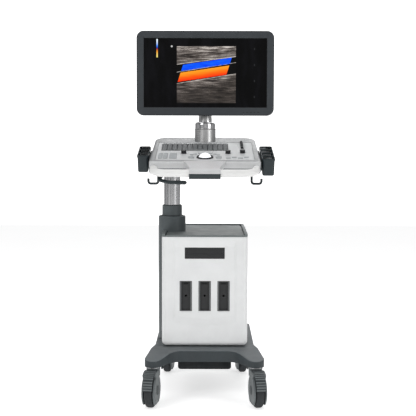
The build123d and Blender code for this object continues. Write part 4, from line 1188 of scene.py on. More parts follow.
# ---- monitor ------------------------------------------------------------------------------------
@dataclass
class Monitor(SubAssembly):
    """The display in its two-part casing, on a hinge above the chromed post."""

    rim: float = 4.0 * MM
    cap_chrome: float = 29.0 * MM
    gasket: float = 1.2 * MM
    gasket_height: float = 0.8 * MM
    touch_keys: int = 5
    touch_pitch: float = 14.0 * MM
    touch_inset: float = 60.0 * MM
    touch_rise: float = 13.0 * MM
    louvres: int = 4
    louvre_length: float = 200.0 * MM
    louvre_pitch: float = 7.0 * MM
    louvre_rise: float = 62.0 * MM
    screw_radius: float = 3.2 * MM
    screw_reach: float = 50.0 * MM
    plate_thickness: float = 4.0 * MM
    guide_width: float = 17.0 * MM
    guide_depth: float = 9.0 * MM
    pin_cap_radius: float = 9.0 * MM
    pin_cap_out: float = 3.6 * MM

    def build(self) -> None:
        """Dresses the casing and adds the gasket, touch keys, vents, screws and cable guide."""
        low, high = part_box("monitor_bezel")
        self.paint("monitor_bezel", Finish.MONITOR_SLATE)
        rim = self.rim
        self.paint_part("monitor_bezel", Finish.MONITOR_EDGE,
                        lambda c, n: (c.x < low.x + rim or c.x > high.x - rim
                                      or c.z < low.z + rim or c.z > high.z - rim))
        self.paint("monitor_rear_cover", Finish.MONITOR_EDGE)
        self.paint("screen", Finish.SCREEN)
        self.paint("tilt_bracket", Finish.BRUSHED_STEEL)
        self.paint("monitor_neck", Finish.SILVER_POST)
        cap_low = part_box("monitor_post")[1].z
        self.paint_part("monitor_neck", Finish.CHROME,
                        lambda c, n: cap_low - MM < c.z < cap_low + self.cap_chrome)
        self.paint("monitor_post", Finish.SILVER_POST)
        self._gasket()
        self._touch_keys()
        self._louvres()
        self._screws()
        self._post_ring()
        self._cable_guide()
        self._pin_caps()

    def _gasket(self) -> None:
        """A thin black seal between the bezel's window and the display."""
        low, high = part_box("screen")
        inner = (high.x - low.x) / 2 - self.rim
        tall = (high.z - low.z) / 2 - self.rim
        middle = (low + high) / 2
        front = low.y - self.gasket_height / 2
        ring = Bench.block("screen_gasket", (middle.x, front, middle.z),
                           (2 * inner, self.gasket_height, 2 * tall))
        Bench.pick(ring, lambda f: abs(f.normal.y) > 0.9)
        bpy.ops.mesh.inset(thickness=self.gasket, depth=0.0)
        bpy.ops.mesh.delete(type="FACE")
        bpy.ops.mesh.select_mode(type="EDGE")
        bpy.ops.mesh.select_all(action="DESELECT")
        bpy.ops.object.mode_set(mode="OBJECT")
        reach_x = inner - 0.6 * self.gasket
        reach_z = tall - 0.6 * self.gasket
        for edge in ring.data.edges:
            ends = [ring.data.vertices[v].co for v in edge.vertices]
            inside = all(abs(p.x - middle.x) < reach_x and abs(p.z - middle.z) < reach_z for p in ends)
            edge.select = inside and abs(ends[0].y - ends[1].y) < 1e-5
        bpy.ops.object.mode_set(mode="EDIT")
        bpy.ops.mesh.bridge_edge_loops()
        bpy.ops.object.mode_set(mode="OBJECT")
        Bench.round_edges(ring, 0.2 * MM, 2)
        self.fit(ring, "monitor", "black_plastic", Finish.SOFT_BLACK)

    def _touch_keys(self) -> None:
        """Five low pads for brightness and menu under the display's right corner."""
        low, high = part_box("monitor_bezel")
        pad = Bench.block("monitor_touch_keys", (0.0, 0.0, 0.0), (7.0 * MM, 0.8 * MM, 2.6 * MM))
        Bench.pick(pad, lambda f: f.normal.y < -0.9)
        bpy.ops.mesh.inset(thickness=0.6 * MM, depth=-0.15 * MM)
        bpy.ops.object.mode_set(mode="OBJECT")
        Bench.round_edges(pad, 0.3 * MM, 2)
        first = high.x - self.touch_inset
        rise = low.z + self.touch_rise
        places = [Matrix.Translation((first - self.touch_pitch * n, low.y - 0.1 * MM, rise))
                  for n in range(self.touch_keys)]
        self.fit(Bench.copies(pad, places), "monitor", "black_plastic", Finish.SOFT_BLACK)

    def _louvres(self) -> None:
        """Rows of raised louvres across the upper back of the casing."""
        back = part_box("monitor_rear_cover")[1].y
        hinge = Vector(joint("monitor_tilt")["pos_m"])
        slat = Bench.block("monitor_louvres", (0.0, 0.0, 0.0), (self.louvre_length, 1.6 * MM, 3.0 * MM))
        Bench.pick(slat, lambda f: f.normal.y > 0.9)
        bpy.ops.mesh.inset(thickness=0.7 * MM, depth=0.0)
        bpy.ops.transform.translate(value=(0.0, 0.0, -0.6 * MM))
        bpy.ops.object.mode_set(mode="OBJECT")
        Bench.round_edges(slat, 0.5 * MM, 2)
        lowest = hinge.z + self.louvre_rise
        places = [Matrix.Translation((0.0, back + 0.5 * MM, lowest + self.louvre_pitch * n))
                  for n in range(self.louvres)]
        self.fit(Bench.copies(slat, places), "monitor", "blue_black", Finish.MONITOR_EDGE)

    def _screws(self) -> None:
        """Four pan-head screws that hold the hinge plate."""
        hinge = Vector(joint("monitor_tilt")["pos_m"])
        plate_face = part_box("tilt_bracket")[0].y + self.plate_thickness
        reaches = (-self.screw_reach, self.screw_reach)
        head = screw_head("hinge_plate_screws", self.screw_radius)
        turn = Matrix.Rotation(-math.pi / 2, 4, "X")
        places = [Matrix.Translation((dx, plate_face, hinge.z + dz)) @ turn
                  for dx in reaches for dz in reaches]
        self.fit(Bench.copies(head, places), "monitor", "steel", Finish.BRUSHED_STEEL)

    def _post_ring(self) -> None:
        """A dark seal ring on the post, under its cap."""
        low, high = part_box("monitor_post")
        centre = (low + high) / 2
        radius = (high.x - low.x) / 2
        place = Vector((centre.x, centre.y, high.z - 3.0 * MM))
        ring = seal_ring("post_top_seal", place, radius + 0.25 * MM, radius - 0.4 * MM, 1.2 * MM)
        self.fit(ring, "panel", "black_plastic", Finish.SOFT_BLACK)

    def _cable_guide(self) -> None:
        """A shallow channel down the back of the neck that covers the monitor's wiring."""
        hinge = Vector(joint("monitor_tilt")["pos_m"])
        top = hinge.z - 0.030
        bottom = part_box("monitor_post")[1].z + 0.050
        back = hinge.y + 0.0170
        guide = Bench.block("neck_cable_guide", (0.0, back + 1.5 * MM, (top + bottom) / 2),
                            (self.guide_width, self.guide_depth, top - bottom))
        Bench.pick(guide, lambda f: f.normal.y > 0.9)
        bpy.ops.transform.resize(value=(0.62, 1.0, 0.965))
        bpy.ops.object.mode_set(mode="OBJECT")
        Bench.round_edges(guide, 1.6 * MM, 3)
        self.fit(guide, "monitor_arm", "slate_plastic", Finish.SLATE_CASING)

    def _pin_caps(self) -> None:
        """Domed caps over the two ends of the hinge pin."""
        hinge = Vector(joint("monitor_tilt")["pos_m"])
        reach = max(joint_span("tilt_bracket"), 0.031) + self.pin_cap_out
        cap = Bench.drum("hinge_pin_caps", (0.0, 0.0, 0.0), self.pin_cap_radius, 3.4 * MM, "X", 32)
        Bench.pick(cap, lambda f: f.normal.x > 0.9)
        bpy.ops.mesh.inset(thickness=2.5 * MM, depth=0.8 * MM)
        bpy.ops.object.mode_set(mode="OBJECT")
        Bench.round_edges(cap, 0.7 * MM, 3)
        right = Matrix.Translation((reach, hinge.y, hinge.z))
        left = Matrix.Translation((-reach, hinge.y, hinge.z)) @ Matrix.Rotation(math.pi, 4, "Z")
        self.fit(Bench.copies(cap, [right, left]), "monitor_arm", "slate_plastic", Finish.SLATE_CASING)


def joint_span(node: str) -> float:
    """Half the width of the ears of a hinge bracket, which are its parts farthest back.

    Args:
        node: the bracket's CAD node.

    Returns:
        Half its width, in metres.
    """
    mesh = frame["nodes"][node].data
    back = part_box(node)[1].y
    return max(abs(v.co.x) for v in mesh.vertices if v.co.y > back - 0.010)


def screw_head(name: str, radius: float) -> Piece:
    """A pan-head screw with a hexagon socket, standing on +Z at the origin.

    Args:
        name: the piece's name.
        radius: the head's radius, in metres.

    Returns:
        The head.
    """
    head = Bench.drum(name, (0.0, 0.0, radius * 0.3), radius, radius * 0.6, "Z", 24)
    Bench.pick(head, lambda f: f.normal.z > 0.9)
    bpy.ops.mesh.inset(thickness=radius * 0.22, depth=radius * 0.16)
    bpy.ops.object.mode_set(mode="OBJECT")
    socket = Bench.drum(name + "_socket", (0.0, 0.0, radius * 0.62), radius * 0.42, radius * 0.6, "Z", 6)
    Bench.cut(head, socket)
    return head


def seal_ring(name: str, centre: Vector, outer: float, inner: float, height: float) -> Piece:
    """A flat ring round an upright round part, with rounded outer edges.

    Args:
        name: the piece's name.
        centre: the ring's middle.
        outer: its outer radius.
        inner: its inner radius, a little inside the part.
        height: its height.

    Returns:
        The ring.
    """
    ring = Bench.drum(name, centre, outer, height, "Z", 64)
    Bench.cut(ring, Bench.drum(name + "_bore", centre, inner, height * 3, "Z", 64))
    Bench.round_edges(ring, min(height, outer - inner) * 0.3, 2)
    return ring


# ---- control panel ------------------------------------------------------------------------------
class PanelPlane:
    """The tilted plane of the key deck, with u to the right, v to the back and w up from the deck."""

    def __init__(self) -> None:
        """Takes the plane from the record's joints."""
        down = Vector(joint("keyboard_press")["axis"])
        self.tilt = math.asin(down.y)
        ball = Vector(joint("ball_roll")["pos_m"])
        turn = Matrix.Rotation(self.tilt, 4, "X")
        offset = turn @ Vector((0.0, -0.100, -0.008))
        self.matrix = Matrix.Translation(ball - offset) @ turn

    def at(self, u: float, v: float, w: float = 0.0) -> Matrix:
        """The transform that stands a piece at a place on the deck, in millimetres."""
        return self.matrix @ Matrix.Translation((u * MM, v * MM, w * MM))


@dataclass
class Keyboard(SubAssembly):
    """Alphanumeric keys, function keys, set keys, sliders and knobs."""

    plane: PanelPlane = field(default_factory=PanelPlane)
    columns: int = 13
    rows: int = 6
    pitch: float = 19.0
    cap: float = 16.6
    cap_under: float = -2.2
    cap_top: float = 2.6
    centre_u: float = -38.0
    centre_v: float = 67.0
    slider_u: float = 139.0
    slider_first_v: float = 44.0
    slider_pitch: float = 13.5
    sliders: int = 8
    space_columns: Tuple[int, int] = (4, 8)
    scale_reach: float = 15.5
    flutes: int = 24
    grip_radius: float = 9.4 * MM
    grip_height: float = 11.4 * MM
    skirt_radius: float = 10.4 * MM
    shaft_radius: float = 2.95 * MM
    tick_radius: float = 14.0 * MM
    tick_count: int = 11
    tick_step: float = 30.0
    first_tick: float = -60.0

    def build(self) -> None:
        """Models the caps and knobs over their plain CAD solids."""
        self._key_caps()
        self.paint("function_keys", Finish.KEY_LIGHT)
        self.paint("set_keys", Finish.KEY_LIGHT)
        self._sliders()
        for name in ("left", "right", "gain"):
            self._knob(name)
        self._deck_print()

    def _one_cap(self, name: str, width: float, length: float) -> Piece:
        """A key cap with drawn-in sides and a shallow dish, standing on the deck plane at the origin.

        Args:
            name: the cap's name.
            width: its width at the foot, in millimetres.
            length: its length at the foot, in millimetres.

        Returns:
            The cap.
        """
        height = (self.cap_top - self.cap_under) * MM
        middle = (self.cap_top + self.cap_under) / 2 * MM
        cap = Bench.block(name, (0.0, 0.0, middle), (width * MM, length * MM, height))
        Bench.pick(cap, lambda f: f.normal.z > 0.9)
        bpy.ops.transform.resize(value=(1.0 - 2.6 / width, 1.0 - 2.6 / length, 1.0))
        bpy.ops.mesh.inset(thickness=1.7 * MM, depth=-0.45 * MM)
        bpy.ops.object.mode_set(mode="OBJECT")
        Bench.round_edges(cap, 0.55 * MM, 2, 25.0)
        return cap

    def _key_caps(self) -> None:
        """All the caps, the front row with its space bar."""
        small: List[Matrix] = []
        first, last = self.space_columns
        for row in range(self.rows):
            v = self.centre_v + (row - (self.rows - 1) / 2) * self.pitch
            for column in range(self.columns):
                if row == 0 and first <= column <= last:
                    continue
                small.append(self.plane.at(self.centre_u + (column - (self.columns - 1) / 2) * self.pitch, v))
        caps = Bench.copies(self._one_cap("keyboard_caps", self.cap, self.cap), small)
        bar = self._one_cap("space_bar", self.cap + (last - first) * self.pitch, self.cap)
        front_v = self.centre_v - (self.rows - 1) / 2 * self.pitch
        bar.data.transform(self.plane.at(self.centre_u, front_v))
        whole = Bench.join([caps, bar])
        self.fit(whole, "keyboard", "key_grey", Finish.KEY_CAP, ["keyboard_keys"], 40.0)

    def _sliders(self) -> None:
        """Gain slider caps with a raised finger ridge and a stem into the slot."""
        cap = Bench.block("gain_slider_caps", (0.0, 0.0, 4.7 * MM), (12.0 * MM, 8.0 * MM, 8.6 * MM))
        Bench.pick(cap, lambda f: f.normal.z > 0.9)
        bpy.ops.transform.resize(value=(0.62, 0.80, 1.0))
        bpy.ops.mesh.inset(thickness=0.9 * MM, depth=0.0)
        bpy.ops.transform.translate(value=(0.0, 0.0, -0.9 * MM))
        bpy.ops.object.mode_set(mode="OBJECT")
        Bench.round_edges(cap, 0.5 * MM, 2)
        stem = Bench.block("slider_stem", (0.0, 0.0, -2.6 * MM), (2.0 * MM, 1.6 * MM, 7.4 * MM))
        whole = Bench.join([cap, stem])
        places = [self.plane.at(self.slider_u, v) for v in self._slider_rows()]
        self.fit(Bench.copies(whole, places), "gain_sliders", "black_plastic", Finish.KNOB_BLACK,
                 ["tgc_sliders"])

    def _slider_rows(self) -> List[float]:
        """How far back each slider stands, in millimetres."""
        return [self.slider_first_v + self.slider_pitch * n for n in range(self.sliders)]

    def _knob(self, name: str) -> None:
        """A knob with a flared skirt, a fluted grip and a dished top with a pointer notch.

        Args:
            name: which knob it is: left, right or gain.
        """
        pivot = Vector(joint(f"knob_{name}_turn")["pos_m"])
        local = self.plane.matrix.inverted() @ pivot
        knob = Bench.drum(f"knob_{name}_cap", (0.0, 0.0, 6.2 * MM), self.grip_radius, self.grip_height, "Z",
                          self.flutes * 2)
        Bench.pick(knob, lambda f: abs(f.normal.z) < 0.1 and self._alternate(f, self.flutes))
        bpy.ops.mesh.inset(thickness=0.25 * MM, depth=-0.5 * MM, use_individual=True)
        bpy.ops.object.mode_set(mode="OBJECT")
        Bench.pick(knob, lambda f: f.normal.z > 0.9 and f.area > 1e-5)
        bpy.ops.mesh.inset(thickness=0.9 * MM, depth=0.5 * MM)
        bpy.ops.mesh.inset(thickness=0.8 * MM, depth=-0.5 * MM)
        bpy.ops.object.mode_set(mode="OBJECT")
        skirt = Bench.drum("knob_skirt", (0.0, 0.0, 1.3 * MM), self.skirt_radius, 1.7 * MM, "Z", 48)
        Bench.round_edges(skirt, 0.5 * MM, 3)
        pointer = Bench.block("knob_pointer", (0.0, 6.2 * MM, 12.3 * MM), (1.0 * MM, 3.4 * MM, 0.9 * MM))
        Bench.round_edges(pointer, 0.25 * MM, 2)
        shaft = Bench.drum("knob_shaft", (0.0, 0.0, -3.0 * MM), self.shaft_radius, 7.6 * MM, "Z", 24)
        whole = Bench.join([knob, skirt, pointer, shaft])
        whole.data.transform(self.plane.matrix @ Matrix.Translation((local.x, local.y, 0.0)))
        self.fit(whole, f"knob_{name}", "black_plastic", Finish.KNOB_BLACK, [f"encoder_{name}"])

    @staticmethod
    def _alternate(face: Face, flutes: int) -> bool:
        """Whether a side face of a knob is one of every second ones."""
        turn = math.atan2(face.normal.y, face.normal.x) % (2 * math.pi)
        return int(turn / (math.pi / flutes)) % 2 == 0

    def _deck_print(self) -> None:
        """Printed scale lines by the slider slots and rings of ticks round the knobs, as thin raised ink."""
        line = Bench.block("deck_print", (0.0, 0.0, 0.06 * MM), (3.2 * MM, 0.5 * MM, 0.12 * MM))
        Bench.round_edges(line, 0.03 * MM, 1)
        places: List[Matrix] = []
        for v in self._slider_rows():
            for side in (-1, 1):
                places.append(self.plane.at(self.slider_u + side * self.scale_reach, v))
        for name in ("left", "right", "gain"):
            local = self.plane.matrix.inverted() @ Vector(joint(f"knob_{name}_turn")["pos_m"])
            centre = self.plane.matrix @ Matrix.Translation((local.x, local.y, 0.0))
            for n in range(self.tick_count):
                turn = Matrix.Rotation(math.radians(self.first_tick + self.tick_step * n), 4, "Z")
                places.append(centre @ turn @ Matrix.Translation((self.tick_radius, 0.0, 0.0)))
        self.fit(Bench.copies(line, places), "panel", "key_grey", Finish.PRINT)


@dataclass
class ControlPanel(SubAssembly):
    """The tilted console: housing, silver frame, white deck, trackball, handle, cups, hooks and lever."""

    plane: PanelPlane = field(default_factory=PanelPlane)
    cup_pitch: float = 52.0
    cup_in: float = 205.0
    cup_rim: float = 1.0
    cup_rows: Tuple[Tuple[int, float, int, float], ...] = ((-1, -90.0, 3, 245.5), (1, -138.0, 4, 250.5))
    rim_height: float = 3.2 * MM
    cable_slot: float = 15.0 * MM
    bay_floor: float = -5.0 * MM
    strip_top: float = -22.05 * MM
    strip_back: float = -215.0 * MM
    plug_places: Tuple[Tuple[float, float], ...] = ((-165.0, -120.0), (-165.0, 170.0), (165.0, -120.0),
                                                    (165.0, 170.0))
    plug_w: float = -47.6
    hook_u: float = 160.0
    hook_vs: Tuple[float, float] = (-56.0, -74.0)
    hook_w: float = -47.0
    sleeve_u: float = 22.0
    sleeve_v: float = -107.0
    sleeve_radius: float = 7.2 * MM
    sleeve_length: float = 36.0 * MM
    lever_run: Tuple[float, float] = (60.0, -4.0)

    def build(self) -> None:
        """Dresses the console and adds the cup rims, housing plugs, lever sleeve and hook screws."""
        self.paint("panel_lower_housing", Finish.SLATE_CASING)
        self.paint("panel_frame", Finish.SILVER_PAINT)
        self.paint_part("panel_frame", Finish.SILVER_SADDLE, lambda c, n: n.y < -0.35)
        self.paint("key_deck", Finish.KEY_DECK)
        inverse = self.plane.matrix.inverted()
        self.paint_part("key_deck", Finish.SLATE_CASING,
                        lambda c, n: self.bay_floor < (inverse @ c).z < self.bay_floor + 1.4 * MM)
        self.paint("trackball", Finish.BALL)
        self.paint("trackball_ring", Finish.SOFT_BLACK)
        self.paint("handle_tube", Finish.HANDLE_WHITE)
        self.paint("handle_saddle", Finish.SILVER_SADDLE)
        self._saddle_strip()
        for node in ("holder_cups_left", "holder_cups_right", "cable_hooks", "lift_lever"):
            self.paint(node, Finish.CUP_SLATE)
        self._cup_rims()
        self._housing_plugs()
        self._lever_cap()
        self._hook_screws()

    def _saddle_strip(self) -> None:
        """The lower front solid of the saddle is dark."""
        inverse = self.plane.matrix.inverted()
        node = frame["nodes"]["handle_saddle"]
        node.data.materials.append(self.wardrobe.of(Finish.CUP_SLATE))
        for face in node.data.polygons:
            local = inverse @ face.center
            if local.z < self.strip_top and local.y < self.strip_back:
                face.material_index = 1

    def _cup_rims(self) -> None:
        """Thick rolled rims round the probe cups, open at the cable slot."""
        for side, first, count, outer in self.cup_rows:
            label = "left" if side < 0 else "right"
            width = outer - self.cup_in
            centre = side * (outer + self.cup_in) / 2
            length = self.cup_pitch - 0.6
            through = 9.0 * MM
            rim = Bench.block(f"cup_rims_{label}", (0.0, 0.0, 0.0),
                              ((width + 2.4) * MM, (length - 0.4) * MM, self.rim_height))
            hole = Bench.block("rim_hole", (0.0, 0.0, 0.0),
                               ((width - 5.0) * MM, (length - 5.0) * MM, through))
            Bench.upright_corners(rim, 9.0)
            Bench.upright_corners(hole, 7.0)
            Bench.cut(rim, hole)
            gap = Bench.block("rim_gap", (side * width / 2 * MM, 0.0, 0.0),
                              (14.0 * MM, self.cable_slot, through))
            Bench.cut(rim, gap)
            Bench.round_edges(rim, 1.3 * MM, 3, 50.0)
            places = [self.plane.at(centre, first + self.cup_pitch * (n + 0.5), self.cup_rim + 1.2)
                      for n in range(count)]
            self.fit(Bench.copies(rim, places), "panel", "slate_plastic", Finish.CUP_SLATE, angle=50.0)

    def _housing_plugs(self) -> None:
        """Four round plugs under the console, over its screw towers."""
        plug = Bench.drum("housing_plugs", (0.0, 0.0, 0.0), 6.0 * MM, 2.0 * MM, "Z", 28)
        Bench.pick(plug, lambda f: f.normal.z < -0.9)
        bpy.ops.mesh.inset(thickness=1.4 * MM, depth=-0.5 * MM)
        bpy.ops.object.mode_set(mode="OBJECT")
        Bench.round_edges(plug, 0.4 * MM, 2)
        places = [self.plane.at(u, v, self.plug_w) for u, v in self.plug_places]
        self.fit(Bench.copies(plug, places), "panel", "slate_plastic", Finish.SLATE_CASING)

    def _lever_cap(self) -> None:
        """A rubber sleeve with grip rings on the free end of the release lever."""
        pivot = Matrix.Translation(Vector(joint("lever_lift")["pos_m"]))
        pivot = pivot @ Matrix.Rotation(self.plane.tilt, 4, "X")
        run_u, run_v = self.lever_run
        along = Matrix.Rotation(math.atan2(run_v, run_u), 4, "Z") @ Matrix.Rotation(math.pi / 2, 4, "Y")
        sleeve = Bench.drum("lever_sleeve", (0.0, 0.0, 0.0), self.sleeve_radius, self.sleeve_length, "Z", 32)
        Bench.pick(sleeve, lambda f: abs(f.normal.z) > 0.9)
        bpy.ops.mesh.inset(thickness=2.2 * MM, depth=1.6 * MM, use_individual=True)
        bpy.ops.object.mode_set(mode="OBJECT")
        Bench.round_edges(sleeve, 1.4 * MM, 3)
        middle = Matrix.Translation((self.sleeve_u * MM, self.sleeve_v * MM, 0.0))
        sleeve.data.transform(pivot @ middle @ along)
        self.fit(sleeve, "release_lever", "slate_plastic", Finish.CUP_SLATE)

    def _hook_screws(self) -> None:
        """Screws that hold the two cable hooks to the housing."""
        head = screw_head("hook_screws", 2.6 * MM)
        flip = Matrix.Rotation(math.pi, 4, "X")
        places = [self.plane.at(side * self.hook_u, v, self.hook_w) @ flip
                  for side in (-1, 1) for v in self.hook_vs]
        self.fit(Bench.copies(head, places), "panel", "steel", Finish.BRUSHED_STEEL)


# ---- trunk, column and base ---------------------------------------------------------------------
@dataclass
class Trunk(SubAssembly):
    """The white casing with its drive, sockets, tray and rear connections."""

    sill_width: float = 48.0 * MM
    bezel_width: float = 45.6 * MM
    screw_inset: float = 20.0 * MM
    port_x: float = -85.0 * MM
    port_rise: float = 110.0 * MM
    jack_xs: Tuple[float, float, float] = (-24.0 * MM, 0.0, 24.0 * MM)

    def build(self) -> None:
        """Dresses the casing and adds the sills, screws and rear connectors."""
        for node in ("trunk_front_panel", "trunk_side_covers", "trunk_rear_cover"):
            self.paint(node, Finish.WHITE_CASING)
        self.paint("trunk_top_tray", Finish.SLATE_TRAY)
        self.paint("trunk_chassis", Finish.ZINC_SHEET)
        self.paint("power_supply", Finish.ZINC_SHEET)
        self.paint("circuit_boards", Finish.BOARD)
        for node in ("optical_drive", "disc_tray", "eject_button"):
            self.paint(node, Finish.DRIVE_BLACK)
        self.paint("probe_sockets", Finish.SOCKET_BLACK)
        self.paint("socket_bezels", Finish.SOCKET_RAIL)
        for node in ("power_inlet", "mains_switch", "cooling_fan"):
            self.paint(node, Finish.SOFT_BLACK)
        self._rear_screws()
        self._earth_stud()
        self._data_ports()
        self._socket_sills()

    def _rear_screws(self) -> None:
        """Screws round the edge of the rear cover."""
        low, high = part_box("trunk_rear_cover")
        head = screw_head("rear_cover_screws", 3.0 * MM)
        turn = Matrix.Rotation(-math.pi / 2, 4, "X")
        inset = self.screw_inset
        heights = (low.z + inset, (low.z + high.z) / 2, high.z - inset)
        places = [Matrix.Translation((x, high.y - 0.2 * MM, z)) @ turn
                  for x in (low.x + inset, high.x - inset) for z in heights]
        self.fit(Bench.copies(head, places), "base", "steel", Finish.BRUSHED_STEEL)

    def _earth_stud(self) -> None:
        """The earthing stud that such equipment has beside its mains inlet."""
        low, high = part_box("power_inlet")
        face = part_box("trunk_rear_cover")[1].y
        foot = (low.x - 0.030, face + 0.6 * MM, (low.z + high.z) / 2)
        flange = Bench.drum("earth_stud", foot, 8.0 * MM, 1.6 * MM, "Y", 6)
        Bench.pick(flange, lambda f: f.normal.y > 0.9)
        bpy.ops.mesh.inset(thickness=4.6 * MM, depth=0.0)
        bpy.ops.mesh.extrude_region_move(TRANSFORM_OT_translate={"value": (0.0, 2.2 * MM, 0.0)})
        bpy.ops.object.mode_set(mode="OBJECT")
        Bench.round_edges(flange, 0.5 * MM, 2)
        self.fit(flange, "base", "steel", Finish.BRUSHED_STEEL)

    def _data_ports(self) -> None:
        """A recessed plate with two network jacks and a video socket on the rear cover."""
        low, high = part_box("trunk_rear_cover")
        face = high.y
        z = low.z + self.port_rise
        plate = Bench.block("data_port_plate", (self.port_x, face + 0.1 * MM, z),
                            (78.0 * MM, 1.4 * MM, 34.0 * MM))
        for dx in self.jack_xs:
            hole = Bench.block("jack", (self.port_x + dx, face, z), (14.5 * MM, 6.0 * MM, 12.5 * MM))
            Bench.cut(plate, hole)
        Bench.round_edges(plate, 0.4 * MM, 2)
        self.fit(plate, "base", "slate_plastic", Finish.SOCKET_RAIL)
        jack = Bench.block("data_jacks", (0.0, 0.0, 0.0), (14.0 * MM, 1.0 * MM, 12.0 * MM))
        Bench.pick(jack, lambda f: f.normal.y > 0.9)
        bpy.ops.mesh.inset(thickness=1.6 * MM, depth=-0.7 * MM)
        bpy.ops.object.mode_set(mode="OBJECT")
        places = [Matrix.Translation((self.port_x + dx, face + 0.1 * MM, z)) for dx in self.jack_xs]
        self.fit(Bench.copies(jack, places), "base", "black_plastic", Finish.SOFT_BLACK)

    def _socket_sills(self) -> None:
        """A pale ledge under each probe socket."""
        low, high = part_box("socket_bezels")
        ledge = Bench.block("socket_sills", (0.0, 0.0, 0.0), (self.sill_width, 3.0 * MM, 2.4 * MM))
        Bench.pick(ledge, lambda f: f.normal.y < -0.9)
        bpy.ops.transform.resize(value=(0.96, 1.0, 0.6))
        bpy.ops.object.mode_set(mode="OBJECT")
        Bench.round_edges(ledge, 0.6 * MM, 2)
        pitch = (high.x - low.x - self.bezel_width) / 2
        places = [Matrix.Translation((pitch * n, low.y - 0.5 * MM, low.z - 3.4 * MM)) for n in (-1, 0, 1)]
        self.fit(Bench.copies(ledge, places), "base", "white_shell", Finish.WHITE_CASING)


@dataclass
class LiftColumn(SubAssembly):
    """The fixed column, its collar and the chromed lift tube with its gas spring."""

    wiper_outer: float = 34.5 * MM
    wiper_inner: float = 31.9 * MM
    seat_outer: float = 42.4 * MM
    seat_inner: float = 38.4 * MM

    def build(self) -> None:
        """Dresses the column and adds the wiper on its collar and the seal under it."""
        self.paint("column_housing", Finish.COLUMN_SLATE)
        self.paint("column_collar", Finish.COLUMN_SLATE)
        self.paint("lift_tube", Finish.CHROME)
        self.paint("gas_spring_rod", Finish.CHROME)
        self.paint("gas_spring_cylinder", Finish.BRUSHED_STEEL)
        self.paint("lift_head", Finish.SLATE_CASING)
        low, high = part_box("column_collar")
        centre = (low + high) / 2
        place = Vector((centre.x, centre.y, high.z + 0.8 * MM))
        wiper = seal_ring("column_wiper", place, self.wiper_outer, self.wiper_inner, 2.0 * MM)
        self.fit(wiper, "base", "black_plastic", Finish.SOFT_BLACK)
        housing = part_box("column_housing")[1].z
        place = Vector((centre.x, centre.y, housing + 0.3 * MM))
        seat = seal_ring("column_seat_seal", place, self.seat_outer, self.seat_inner, 1.6 * MM)
        self.fit(seat, "base", "black_plastic", Finish.SOFT_BLACK)


